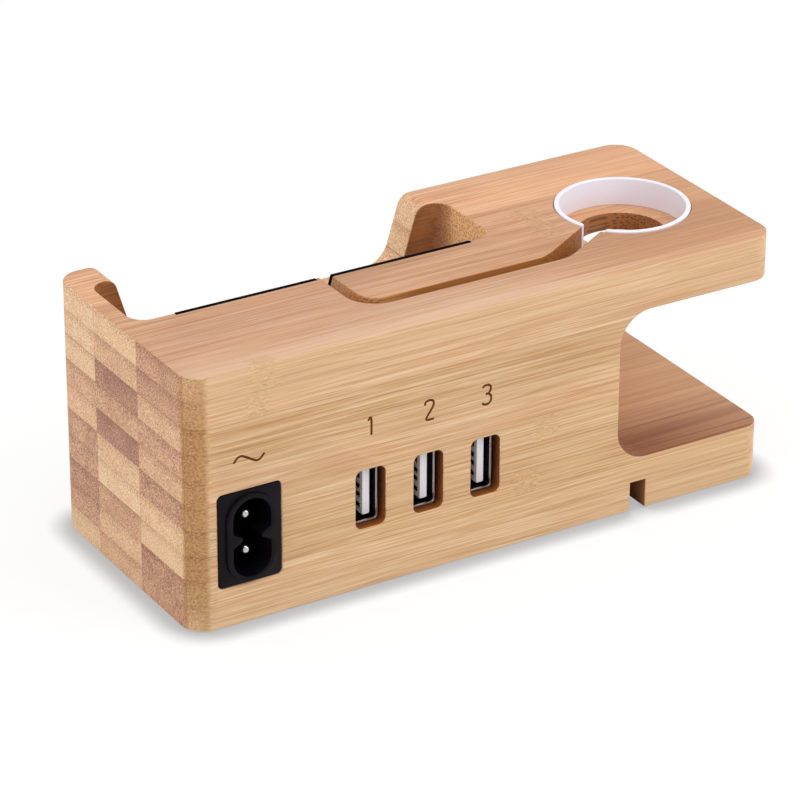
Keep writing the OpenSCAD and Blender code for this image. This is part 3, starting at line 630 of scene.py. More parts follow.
@dataclass(frozen=True)
class BoardFinish:
    """Green lacquered board with copper tracks under the lacquer."""

    name: str = "board_lacquer"
    lacquer: Rgb = (24, 92, 52)
    copper: Rgb = (70, 140, 70)
    tracks_per_m: float = 160.0
    track_width: float = 0.05
    track_share: float = 0.5
    gloss: float = 0.3
    depth: float = 0.00003

    def build(self) -> bpy.types.Material:
        """Makes the material: tracks are thin bands round the cells of a square pattern.

        Returns:
            The material.
        """
        material, graph, shader, coords = new_material(self.name)
        place = coords.outputs["Object"]
        x, y, _ = graph.split(place)
        grid = graph.node("ShaderNodeTexBrick")
        flat = graph.join(x * self.tracks_per_m, y * self.tracks_per_m, 0.0)
        graph.feed(grid.inputs["Vector"], flat)
        grid.inputs["Mortar Size"].default_value = self.track_width
        track = Num(graph, grid.outputs["Fac"])
        moulded = EFFECTS.get(Effect.MOULDED)
        made = graph.group(moulded, Vector=place, Gloss=self.gloss, Color=srgb(*self.lacquer))
        color = graph.mix(track * self.track_share, made["Color"], srgb(*self.copper))
        graph.feed(shader.inputs["Base Color"], color)
        graph.feed(shader.inputs["Roughness"], made["Roughness"])
        graph.feed(shader.inputs["Normal"], graph.bump(track, self.depth))
        return material


class Tint(Enum):
    """Colours of the wood, as displayed; some stand for painted shade and painted light."""

    KNOT_PALE = (208, 172, 118)
    KNOT_DARK = (186, 138, 84)
    BARK_DARK = (158, 110, 58)
    BARK_PALE = (194, 148, 92)
    BARK_DOTS = (124, 80, 36)
    GLUE = (146, 98, 62)
    HAIR = (166, 114, 76)
    VESSELS = (146, 98, 70)
    SHELF_UNSHADED = (244, 246, 240)
    SHELF_PAINTED_SHADE = (156, 126, 112)
    SHELF_STAIN = (128, 72, 54)
    GROOVE_END = (200, 140, 84)
    GROOVE = (158, 92, 26)
    HOLE_RIM = (190, 140, 96)
    HOLE = (158, 96, 38)
    POCKET = (248, 190, 132)
    LIP_INSIDE_SHADE = (150, 84, 28)
    WALL_FOOT_SHADE = (130, 66, 24)
    WALL_DOTS = (90, 45, 13)
    SCORCHED = (48, 15, 0)
    SCORCHED_PAINTED_LIGHT = (150, 82, 24)

    @property
    def color(self) -> Rgba:
        """The linear colour."""
        return srgb(*self.value)


@dataclass
class Wood:
    """A point of the wood: its place in millimetres, its facing and the strip that it lies in.

    nx and nz are how far the surface faces along X, and up or down. layer and strip are whole
    numbers, from the foot and from the front. rise and across run from 0 to 1 through the strip's
    height and depth. tone, warm and glue are the strip's random numbers.
    """

    graph: Graph
    x: Num
    y: Num
    z: Num
    nx: Num
    nz: Num
    layer: Num
    strip: Num
    rise: Num
    across: Num
    tone: Num
    warm: Num
    glue: Num
    fibre: dict[str, Num] = field(default_factory=dict)

    @property
    def lying(self) -> Num:
        """1 where the surface faces up or down."""
        return self.nz.step(0.5, 0.9)

    @property
    def cut(self) -> Num:
        """1 on faces across the grain."""
        return self.nx.step(0.3, 0.8)

    def of_strip(self, layer: int, strip: int) -> Num:
        """1 in one strip, by the numbers of its layer and its row."""
        return (self.layer - layer).abs().max((self.strip - strip).abs()).step(0.5, 0.4)


@dataclass(frozen=True)
class SandedCorner:
    """The rounded upright corner by the inlet, where fibres cut aslant look like bark."""

    x_mm: Fade = (62.0, 66.0)
    y_mm: Fade = (20.0, 22.0)
    turned: Fade = (0.12, 0.4)
    square: Fade = (0.995, 0.93)
    level: Fade = (0.3, 0.1)
    share: float = 0.85

    def paint(self, at: Wood, wood: Socket) -> Socket:
        """Lays bark over the corner.

        Args:
            at: The point.
            wood: The colour below.

        Returns:
            The colour.
        """
        graph = at.graph
        corner = at.nx.step(*self.turned) * at.nx.step(*self.square) * at.nz.step(*self.level)
        corner = corner * at.x.step(*self.x_mm) * at.y.step(*self.y_mm)
        specks, dots = at.fibre["Speck"].step(0.3, 0.7), at.fibre["Dots"]
        bark = graph.mix(specks, Tint.BARK_DARK.color, Tint.BARK_PALE.color)
        upper = at.rise.step(0.62, 0.95) * 0.6 + 0.08
        bark = graph.mix(dots * upper, bark, Tint.BARK_DOTS.color)
        return graph.mix(corner * self.share, wood, bark)


@dataclass(frozen=True)
class BrownedShadedWalls:
    """Browned walls of the pocket, groove and hole below the watch charger, with painted shade."""

    front_mm: Fade = (-23.25, -22.85)
    rear_mm: Fade = (22.5, 21.5)
    end_mm: float = 73.0
    end_fade_mm: Fade = (0.0, -0.8)
    floor_mm: Fade = (36.3, 37.3)
    upright: Fade = (0.8, 0.5)
    deck_x_mm: Fade = (-31.0, -32.0)
    deck_z_mm: Fade = (49.0, 48.6)
    groove_x_mm: Fade = (20.0, 8.0)
    rim_x_mm: Fade = (-40.0, -44.0)
    hole_x_mm: Fade = (-46.0, -49.0)
    lip_shade_y_mm: Fade = (-17.0, -22.5)
    pocket_y_mm: Fade = (-1.0, -3.0)
    pocket_x_mm: Fade = (-31.0, -30.0)
    shade_down_mm: Fade = (57.0, 42.0)
    dotted_x_mm: Fade = (-44.0, -48.0)
    share: float = 0.9

    def paint(self, at: Wood, wood: Socket) -> Socket:
        """Browns the upright walls above the pocket's floor, but not those below the deck.

        Painted shade darkens them towards their foot and inside the lip.

        Args:
            at: The point.
            wood: The colour below.

        Returns:
            The colour.
        """
        graph, x, y, z = at.graph, at.x, at.y, at.z
        within = y.step(*self.front_mm) * y.step(*self.rear_mm) * z.step(*self.floor_mm)
        within = within * (x.abs() - self.end_mm).step(*self.end_fade_mm)
        within = within * at.nz.step(*self.upright)
        below = x.step(*self.deck_x_mm) * z.step(*self.deck_z_mm)
        groove = graph.mix(x.step(*self.groove_x_mm), Tint.GROOVE_END.color, Tint.GROOVE.color)
        groove = graph.mix(x.step(*self.rim_x_mm), groove, Tint.HOLE_RIM.color)
        groove = graph.mix(x.step(*self.hole_x_mm), groove, Tint.HOLE.color)
        # painted shade: the lip's inside is dark where the lip shades the pocket
        pocket = graph.mix(y.step(*self.lip_shade_y_mm), Tint.POCKET.color, Tint.LIP_INSIDE_SHADE.color)
        in_pocket = y.step(*self.pocket_y_mm) * x.step(*self.pocket_x_mm)
        brown = graph.mix(in_pocket, groove, pocket)
        # painted shade: darker towards the foot of the walls, by an amount that varies with the
        # strip's tone
        foot = z.step(*self.shade_down_mm) * (at.tone.inverse() * 0.3 + 0.25)
        brown = graph.mix(foot, brown, Tint.WALL_FOOT_SHADE.color)
        dots = at.fibre["Dots"] * (x.step(*self.dotted_x_mm) * 0.35 + 0.55)
        brown = graph.mix(dots, brown, Tint.WALL_DOTS.color)
        return graph.mix(within * below.inverse() * self.share, wood, brown)


@dataclass(frozen=True)
class ShadedShelf:
    """Shelf under the deck: painted shade towards the block and the rear, and a stained corner."""

    x_mm: Fade = (-32.0, -33.5)
    above_mm: Fade = (20.0, 16.0)
    below_mm: Fade = (5.0, 8.0)
    deep_y_mm: Fade = (0.0, 26.0)
    deep_x_mm: Fade = (-75.0, -40.0)
    stain_x_mm: Fade = (-50.0, -37.0)
    stain_y_mm: Fade = (8.0, 22.0)
    stain_share: float = 0.55

    def paint(self, at: Wood, wood: Socket) -> Socket:
        """Multiplies the shelf's colour by a painted shade, then lays the stain over it.

        Args:
            at: The point.
            wood: The colour below.

        Returns:
            The colour.
        """
        graph, x, y, z = at.graph, at.x, at.y, at.z
        shelf = at.lying * x.step(*self.x_mm) * z.step(*self.above_mm) * z.step(*self.below_mm)
        # painted shade under the deck, deeper towards the rear and the block, broken by the grain's
        # streaks
        deep = y.step(*self.deep_y_mm) * (x.step(*self.deep_x_mm) * 0.35 + 0.6)
        deep = deep + (at.fibre["Streak"] - 0.5) * 1.4 + (at.fibre["Fine"] - 0.5) * 0.8
        shade = graph.mix(deep, Tint.SHELF_UNSHADED.color, Tint.SHELF_PAINTED_SHADE.color)
        wood = graph.mix(shelf, wood, shade, "MULTIPLY")
        stain = graph.noise_at(x * 0.4, y * 0.9, z, 3.0, 0.7).step(0.5, 0.62)
        stain = stain * x.step(*self.stain_x_mm) * y.step(*self.stain_y_mm)
        return graph.mix(shelf * stain * self.stain_share, wood, Tint.SHELF_STAIN.color)


@dataclass(frozen=True)
class ScorchedCuts:
    """Walls of the socket windows and of the cable slot, scorched as they were cut."""

    window_mm: tuple[float, float] = (7.35, 13.9)
    window_z_mm: float = 21.65
    window_fade_mm: Fade = (0.1, 0.03)
    window_y_mm: Fade = (20.0, 22.0)
    slot_x_mm: float = -38.7
    slot_half_mm: Fade = (2.15, 2.08)
    slot_top_mm: Fade = (7.4, 7.3)
    slot_start_mm: Fade = (-20.75, -20.6)
    slot_share: float = 0.9
    face_mm: Fade = (0.1, 0.3)
    mouth_mm: Fade = (2.2, 0.4)
    sill_z_mm: Fade = (22.0, 15.0)

    def mask(self, at: Wood) -> Num:
        """How far a point is scorched.

        The distance outside the nearest window is the larger of |x - middle| - half its width and
        |z - middle| - half its height, and the walls lie where it is nearly zero.

        Args:
            at: The point.

        Returns:
            1 on the windows' walls, and a little less in the cable slot.
        """
        half_w, half_h = (size / 2 for size in self.window_mm)
        gaps = [
            ((at.x - middle).abs() - half_w).max((at.z - self.window_z_mm).abs() - half_h)
            for middle in SOCKETS_X_MM
        ]
        walls = reduce(Num.min, gaps).step(*self.window_fade_mm) * at.y.step(*self.window_y_mm)
        slot = (at.x - self.slot_x_mm).abs().step(*self.slot_half_mm) * at.z.step(*self.slot_top_mm)
        slot = slot * at.y.step(*self.slot_start_mm) * self.slot_share
        return walls.max(slot) * at.y.step(*(REAR_MM - in_mm for in_mm in self.face_mm))

    def paint(self, at: Wood, wood: Socket, mask: Num) -> Socket:
        """Chars the cuts, with painted light at the mouth and low down, where light falls in.

        Args:
            at: The point.
            wood: The colour below.
            mask: How far the point is scorched.

        Returns:
            The colour.
        """
        # painted light: the char is paler at the mouth and low down, where light falls in; fine
        # grain varies it too
        mouth = at.y.step(*(REAR_MM - in_mm for in_mm in self.mouth_mm))
        grain_and_painted_light = at.fibre["Fine"].step(0.3, 0.7) * 0.3 + mouth * 0.5
        grain_and_painted_light = grain_and_painted_light + at.z.step(*self.sill_z_mm) * 0.3
        char = at.graph.mix(grain_and_painted_light, Tint.SCORCHED.color, Tint.SCORCHED_PAINTED_LIGHT.color)
        return at.graph.mix(mask, wood, char)


@dataclass(frozen=True)
class BambooFinish:
    """Laminated bamboo, worked out as a solid, so every cut shows the strips that it crosses.

    picked gives single strips their tone, as (layer, row, tone). knots are (x, layer, row).
    """

    name: str = "laminated_bamboo"
    layer_mm: float = 5.94
    layers: int = 10
    foot_mm: float = 0.3
    strip_mm: float = 19.45
    strip_start_mm: float = -32.0
    seed: float = 5.0
    second_seed: float = 12.0
    shift_mm: tuple[float, float, float] = (900.0, 300.0, 200.0)
    picked: tuple[tuple[int, int, float], ...] = (
        (9, 1, 0.8),
        (8, 1, 0.4),
        (7, 1, -0.22),
        (6, 1, 0.25),
        (5, 1, -0.2),
        (3, 1, 0.95),
        (2, 0, -0.05),
        (9, 0, 0.85),
        (8, 0, 0.8),
        (7, 0, 0.8),
    )
    knots: tuple[tuple[float, int, int], ...] = (
        (55.5, 9, 3),
        (57.5, 8, 3),
        (-13.6, 4, 3),
        (-8.7, 2, 3),
        (-31.0, 9, 1),
    )
    knot_fade_mm: Fade = (4.5, 0.5)
    ripple_mm: float = 2.6
    calm_x_mm: Fade = (-32.0, -46.0)
    calm_z_mm: Fade = (48.0, 56.0)
    rear_strip: Fade = (1.4, 1.6)
    lit_edge_y_mm: Fade = (14.0, 26.0)
    pale_x_mm: Fade = (-50.0, 5.0)
    pale_z_mm: Fade = (48.0, 52.0)
    upright_tones: Stops = (
        (0.0, (168, 120, 76)),
        (0.28, (201, 156, 110)),
        (0.5, (212, 173, 131)),
        (0.72, (223, 189, 149)),
        (1.0, (235, 207, 165)),
    )
    lying_tones: Stops = (
        (0.0, (172, 118, 82)),
        (0.28, (206, 152, 113)),
        (0.5, (222, 169, 129)),
        (0.72, (235, 188, 151)),
        (1.0, (247, 209, 177)),
    )
    end_tones: Stops = (
        (0.0, (158, 108, 94)),
        (0.22, (198, 146, 118)),
        (0.5, (228, 178, 140)),
        (0.75, (243, 200, 156)),
        (1.0, (254, 224, 182)),
    )
    relief: float = 0.00005
    specular: float = 0.3

    def build(self) -> bpy.types.Material:
        """Makes the material.

        How far the surface turns across the grain mixes the long grain's colours with the end
        grain's. Knots, the sanded corner, glue lines, browned walls with painted shade, the shelf's
        painted shade and scorched cuts with painted light are laid over it in turn.

        Returns:
            The material.
        """
        material, graph, shader, coords = new_material(self.name)
        at = self.point(graph, coords)
        knotted = self.knotted(at)
        self.grow(at, knotted)
        fibre, cut = at.fibre, at.cut
        wood = graph.mix(cut, self.along(at), self.across(at))
        dashes = graph.noise_at(at.x * 0.9, at.y * 1.6, at.z * 1.6)
        pith = knotted.step(0.1, 0.9) * cut.inverse()
        wood = graph.mix(pith * dashes.step(0.70, 0.30) * 0.42, wood, Tint.KNOT_PALE.color)
        wood = graph.mix(pith * dashes.step(0.50, 0.75) * 0.36, wood, Tint.KNOT_DARK.color)
        wood = SandedCorner().paint(at, wood)

        line = (at.rise - 0.5).abs().step(0.465, 0.5) * at.glue.step(0.25, 1.0)
        seam = (at.across - 0.5).abs().step(0.493, 0.5) * 0.35
        wood = graph.mix((line * (cut * 0.25 + 0.45)).max(seam), wood, Tint.GLUE.color)

        wood = ShadedShelf().paint(at, BrownedShadedWalls().paint(at, wood))
        cuts = ScorchedCuts()
        scorch = cuts.mask(at)
        wood = cuts.paint(at, wood, scorch)

        dents = fibre["Speck"] * cut * 1.4 - fibre["Dense"] * cut * 0.5
        relief = fibre["Fine"] * 0.4 + dents - line * 0.4
        graph.feed(shader.inputs["Base Color"], wood)
        graph.feed(shader.inputs["Roughness"], (fibre["Fine"] - 0.5) * 0.2 + scorch * 0.2 + 0.52)
        graph.feed(shader.inputs["Normal"], graph.bump(relief, self.relief))
        shader.inputs["Specular IOR Level"].default_value = self.specular
        return material

    def point(self, graph: Graph, coords: bpy.types.Node) -> Wood:
        """Finds a point's strip, whose layer and row are whole numbers of its height and depth.

        Args:
            graph: The material's graph.
            coords: Its coordinate node.

        Returns:
            The point, without its fibres.
        """
        x, y, z = (part * TO_MM for part in graph.split(coords.outputs["Object"]))
        nx, _, nz = graph.split(coords.outputs["Normal"])
        stack = (z - self.foot_mm) / self.layer_mm
        row = (y - self.strip_start_mm) / self.strip_mm
        layer, strip = stack.floor().max(0.0).min(self.layers - 1.0), row.floor()
        rise, across = stack - layer, row.fract()
        tone, _, glue = graph.draw(layer, strip, self.seed)
        *_, warm = graph.draw(layer, strip, self.second_seed)
        at = Wood(graph, x, y, z, nx.abs(), nz.abs(), layer, strip, rise, across, tone, warm, glue)
        for layer_number, row_number, target in self.picked:
            at.tone = at.tone.toward(target, at.of_strip(layer_number, row_number))
        return at

    def knotted(self, at: Wood) -> Num:
        """How near a knot of its strip a point is.

        Args:
            at: The point.

        Returns:
            1 in the knot, 0 away from it.
        """
        near = [
            at.of_strip(layer, row) * (at.x - x).abs().step(*self.knot_fade_mm)
            for x, layer, row in self.knots
        ]
        return reduce(Num.max, near)

    def grow(self, at: Wood, knotted: Num) -> None:
        """Gives a point its fibres, from a solid that each strip is cut out of at another place.

        Args:
            at: The point.
            knotted: How near a knot it is, where the fibres ripple.
        """
        graph, x, y, z = at.graph, at.x, at.y, at.z
        shift_a, shift_b, _ = graph.draw(at.layer, at.strip, self.second_seed)
        ripple = (graph.noise_at(x * 0.4, y * 0.3, z * 0.4, 1.0) - 0.5) * knotted * self.ripple_mm
        along, deep, up = self.shift_mm
        place = graph.join(
            x + shift_a * along, y + shift_b * deep + ripple, z + shift_a * up + ripple
        )
        made = graph.group(EFFECTS.get(Effect.FIBRE), Vector=place)
        at.fibre = {name: Num(graph, socket) for name, socket in made.items()}

    def along(self, at: Wood) -> Socket:
        """Colour of the faces along the grain.

        The strip's tone, broad bands, streaks and fine lines are summed. The grain is calmer by
        the deck and near the top of the upright faces. The top is paler towards the rear: its rear
        strips are paler, and painted light brightens it towards the rear edge.

        Args:
            at: The point.

        Returns:
            The colour.
        """
        graph, fibre, lying = at.graph, at.fibre, at.lying
        calm_deck = at.x.step(*self.calm_x_mm) * 0.4
        calm_top = at.z.step(*self.calm_z_mm) * at.nz.step(0.5, 0.3) * 0.35
        lively = calm_deck.max(calm_top).inverse()
        # paler rear strips, plus painted light towards the rear edge
        pale = at.strip.step(*self.rear_strip) * 0.36 + at.y.step(*self.lit_edge_y_mm) * 0.2
        pale = pale * (at.x.step(*self.pale_x_mm) * 0.7 + 0.3) - 0.13
        value = (
            (at.tone - 0.5) * 0.22
            + (fibre["Broad"] - 0.5) * (lying * 0.15 + 0.25) * lively
            + (fibre["Streak"] - 0.5) * (lying * 0.33 + 0.22) * lively
            + (fibre["Fine"] - 0.5) * (lying * 0.1 + 1.75) * lively
            + lying * (pale * at.z.step(*self.pale_z_mm))
            + 0.5
        )
        upright = graph.ramp(value, self.upright_tones)
        flat = graph.ramp(value, self.lying_tones)
        wood = graph.mix(lying.max(at.warm.step(0.55, 1.0) * 0.3), upright, flat)
        return graph.mix(fibre["Hair"] * (lying * 0.08 + 0.2), wood, Tint.HAIR.color)

    def across(self, at: Wood) -> Socket:
        """Colour of the faces across the grain, where dark vessels crowd at a strip's upper side.

        Args:
            at: The point.

        Returns:
            The colour.
        """
        edge = at.rise.step(0.55, 1.0)
        specks = (at.fibre["Speck"] - 0.5) * 2.0
        value = at.tone * 0.6 + specks + (at.fibre["Broad"] - 0.5) * 0.4 - edge * 0.1 + 0.26
        wood = at.graph.ramp(value, self.end_tones)
        vessels = at.fibre["Dense"] * (edge * 0.42 + 0.17)
        return at.graph.mix(vessels, wood, Tint.VESSELS.color)


def box_mm(node: str) -> tuple[np.ndarray, np.ndarray]:
    """Lowest and highest corner of a CAD node, in millimetres."""
    low, high = (np.array(corner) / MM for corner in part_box(node))
    return low, high


def middle_xz(low: np.ndarray, high: np.ndarray) -> tuple[float, float]:
    """X and Z of the middle between two corners."""
    return ((low[0] + high[0]) / 2, (low[2] + high[2]) / 2)


def shade(mesh: bpy.types.Mesh, angle_deg: float) -> None:
    """Shades a mesh smooth, and keeps its sharper edges sharp.

    Args:
        mesh: The mesh.
        angle_deg: Edges flatter than this are smooth.
    """
    mesh.polygons.foreach_set("use_smooth", np.ones(len(mesh.polygons), bool))
    mesh.set_sharp_from_angle(angle=math.radians(angle_deg))
    mesh.update()


def add_piece(
    name: str,
    mesh: bpy.types.Mesh,
    finish: bpy.types.Material,
    replaced: tuple[str, ...],
    smooth_deg: float,
) -> bpy.types.Object:
    """Puts a mesh on the block as a piece.

    Args:
        name: The piece's name.
        mesh: Its mesh.
        finish: Its material.
        replaced: CAD nodes that the piece stands for.
        smooth_deg: Edges flatter than this are shaded smooth.

    Returns:
        The piece.
    """
    mesh.materials.clear()
    mesh.materials.append(finish)
    shade(mesh, smooth_deg)
    made = bpy.data.objects.new(name, mesh)
    bpy.context.scene.collection.objects.link(made)
    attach(made, BODY)
    if replaced:
        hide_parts(*replaced)
    log.info("%s: %d faces", name, len(mesh.polygons))
    return made


def grid_faces(rows: int, columns: int, start: int = 0, closed: bool = True) -> list[list[int]]:
    """Quads between neighbouring rows of a grid, whose columns may close on themselves.

    Args:
        rows: Number of rows.
        columns: Points in each row.
        start: Index of the first point.
        closed: Whether the last column meets the first.

    Returns:
        The quads.
    """
    steps = columns if closed else columns - 1
    i, k = np.meshgrid(np.arange(rows - 1), np.arange(steps), indexing="ij")
    n = (k + 1) % columns
    low, high = i * columns, (i + 1) * columns
    quads = np.stack([low + k, low + n, high + n, high + k], -1)
    return (quads.reshape(-1, 4) + start).tolist()


@dataclass
class Shell:
    """Collects closed lofts: rows of points, each row a ring, with a cap at either end."""

    points: list[np.ndarray] = field(default_factory=list)
    faces: list[list[int]] = field(default_factory=list)
    count: int = 0

    def loft(self, rings: np.ndarray) -> "Shell":
        """Adds a skin through rings, capped at both ends.

        Each ring is one row of the grid, and point k of a ring joins point k of the next.

        Args:
            rings: Array of rings by points by three.

        Returns:
            The shell, for the next loft.
        """
        rows, columns, _ = rings.shape
        self.points.append(rings.reshape(-1, 3))
        self.faces += grid_faces(rows, columns, self.count)
        first = list(range(self.count, self.count + columns))
        last = [i + (rows - 1) * columns for i in first]
        self.faces += [first[::-1], last]
        self.count += rows * columns
        return self

    def piece(
        self,
        name: str,
        finish: bpy.types.Material,
        slot: str,
        *replaced: str,
        smooth_deg: float = 35.0,
    ) -> bpy.types.Object:
        """Makes the piece of what was collected, merged and with its faces turned outwards.

        Args:
            name: The piece's name.
            finish: Its material.
            slot: Not used.
            *replaced: CAD nodes that the piece stands for.
            smooth_deg: Edges flatter than this are shaded smooth.

        Returns:
            The piece.
        """
        mesh = bpy.data.meshes.new(name)
        mesh.from_pydata((np.concatenate(self.points) * MM).tolist(), [], self.faces)
        work = bmesh.new()
        work.from_mesh(mesh)
        bmesh.ops.remove_doubles(work, verts=work.verts, dist=1e-7)
        bmesh.ops.recalc_face_normals(work, faces=work.faces)
        work.to_mesh(mesh)
        work.free()
        return add_piece(name, mesh, finish, replaced, smooth_deg)


def rounded_outline(width: float, height: float, radius: float, count: int = 64) -> np.ndarray:
    """Outline of a rectangle with round corners, centred, as points of (across, up).

    A quarter of the points goes to each corner: corner centre plus radius times (cos a, sin a),
    and the straight sides are the steps between corners.

    Args:
        width: Full width.
        height: Full height.
        radius: Corner radius.
        count: Number of points, a multiple of 4.

    Returns:
        The points, counterclockwise.
    """
    radius = min(radius, width / 2 - 1e-6, height / 2 - 1e-6)
    corner, point = np.divmod(np.arange(count), count // 4)
    turn = corner * (math.pi / 2) + point / (count // 4 - 1) * (math.pi / 2)
    centre_x = np.where((corner == 0) | (corner == 3), 1, -1) * (width / 2 - radius)
    centre_y = np.where(corner < 2, 1, -1) * (height / 2 - radius)
    return np.stack([centre_x + radius * np.cos(turn), centre_y + radius * np.sin(turn)], -1)


def upright_rings(
    outlines: list[tuple[np.ndarray, float]], centre: tuple[float, float]
) -> np.ndarray:
    """Places outlines of (across, up) at depths along Y.

    Args:
        outlines: Pairs of outline and Y.
        centre: X and Z of the middle.

    Returns:
        The rings.
    """
    rings = []
    for outline, depth in outlines:
        across, up = outline[:, 0] + centre[0], outline[:, 1] + centre[1]
        rings.append(np.stack([across, np.full(len(outline), depth), up], -1))
    return np.array(rings)


def outline_rings(
    *steps: tuple[float, float, float, float, float], centre: tuple[float, float]
) -> np.ndarray:
    """Rings of round-cornered rectangles along Y.

    Args:
        *steps: Width, height, corner radius, Y and shift along X of each ring.
        centre: X and Z of the middle.

    Returns:
        The rings.
    """
    outlines = []
    for width, height, radius, depth, shift in steps:
        outline = rounded_outline(width, height, radius) + np.array([shift, 0.0])
        outlines.append((outline, depth))
    return upright_rings(outlines, centre)


@dataclass
class BambooBlock:
    """The milled block, with its edges broken by a light sanding.

    Edges by the pads stay sharp, and so do those of the bay in the underside, which no hand meets:
    the ones below felt_above_mm and within felt_beyond_mm of the middle.
    """

    finish: bpy.types.Material
    ease_mm: float = 0.3
    sharp_deg: float = 38.0
    pads_x_mm: tuple[float, float] = (-16.0, 61.5)
    pads_y_mm: tuple[float, float] = (-1.8, 0.8)
    pads_above_mm: float = 40.0
    felt_above_mm: float = 12.0
    felt_beyond_mm: tuple[float, float] = (70.0, 29.0)
    middle_y_mm: float = -0.55

    def build(self) -> bpy.types.Object:
        """Merges a copy of the block's own mesh and rounds its outward edges.

        Returns:
            The piece.
        """
        work = bmesh.new()
        work.from_mesh(frame["nodes"]["bamboo_body"].data)
        bmesh.ops.remove_doubles(work, verts=work.verts, dist=2e-6)
        bmesh.ops.dissolve_limit(
            work,
            angle_limit=math.radians(0.3),
            verts=work.verts,
            edges=work.edges,
            use_dissolve_boundaries=False,
        )
        bmesh.ops.bevel(
            work,
            geom=[edge for edge in work.edges if self.eased(edge)],
            offset=self.ease_mm * MM,
            offset_type="OFFSET",
            segments=2,
            profile=0.5,
            affect="EDGES",
            clamp_overlap=False,
            loop_slide=True,
            miter_outer="SHARP",
            miter_inner="SHARP",
        )
        bmesh.ops.triangulate(work, faces=[f for f in work.faces if len(f.verts) > 4])
        mesh = bpy.data.meshes.new("bamboo_block")
        work.to_mesh(mesh)
        work.free()
        return add_piece("bamboo_block", mesh, self.finish, ("bamboo_body",), 40.0)

    def eased(self, edge: bmesh.types.BMEdge) -> bool:
        """Whether an edge is an outward corner that a hand would feel.

        Args:
            edge: The edge.

        Returns:
            True for such an edge.
        """
        sharp = math.radians(self.sharp_deg)
        if len(edge.link_faces) != 2 or edge.calc_face_angle_signed(0.0) < sharp:
            return False
        x, y, z = (edge.verts[0].co + edge.verts[1].co) / 2 / MM
        (x_low, x_high), (y_low, y_high) = self.pads_x_mm, self.pads_y_mm
        if x_low < x < x_high and y_low < y < y_high and z > self.pads_above_mm:
            return False
        x_felt, y_felt = self.felt_beyond_mm
        return z > self.felt_above_mm or abs(y - self.middle_y_mm) > y_felt or abs(x) > x_felt


@dataclass
class WatchRing:
    """Split band round the watch charger's seat, open towards the cable groove."""

    finish: bpy.types.Material
    wall_mm: float = 1.1
    gap_mm: float = 5.6
    gap_turn_deg: float = 31.0
    round_mm: float = 0.22
    stations: int = 180
    profile_points: int = 32

    def build(self) -> bpy.types.Object:
        """Carries a round-cornered profile round the circle.

        A point of the profile at radius r runs from the angle where the gap's straight side meets
        that radius, gap turn + asin(half gap / r), round to the other side of the gap. The circle
        touches the low sides of the ring's box, which the gap doesn't reach.

        Returns:
            The piece.
        """
        low, high = box_mm("watch_ring")
        outer = (high[1] - low[1]) / 2
        gap_turn = np.radians(self.gap_turn_deg)
        rings = []
        for share in np.linspace(0.0, 1.0, self.stations):
            inset = self.round_mm * 0.5 if share in (0.0, 1.0) else 0.0
            width, height = self.wall_mm - 2 * inset, high[2] - low[2] - 2 * inset
            profile = rounded_outline(width, height, self.round_mm, self.profile_points)
            radius = outer - self.wall_mm / 2 + profile[:, 0]
            half_gap = np.arcsin(self.gap_mm / 2 / radius)
            start, end = gap_turn + half_gap, gap_turn + 2 * math.pi - half_gap
            turn = start + share * (end - start)
            x = low[0] + outer + radius * np.cos(turn)
            y = low[1] + outer + radius * np.sin(turn)
            rings.append(np.stack([x, y, (low[2] + high[2]) / 2 + profile[:, 1]], -1))
        shell = Shell().loft(np.array(rings))
        return shell.piece("watch_ring_band", self.finish, "white_plastic", "watch_ring")


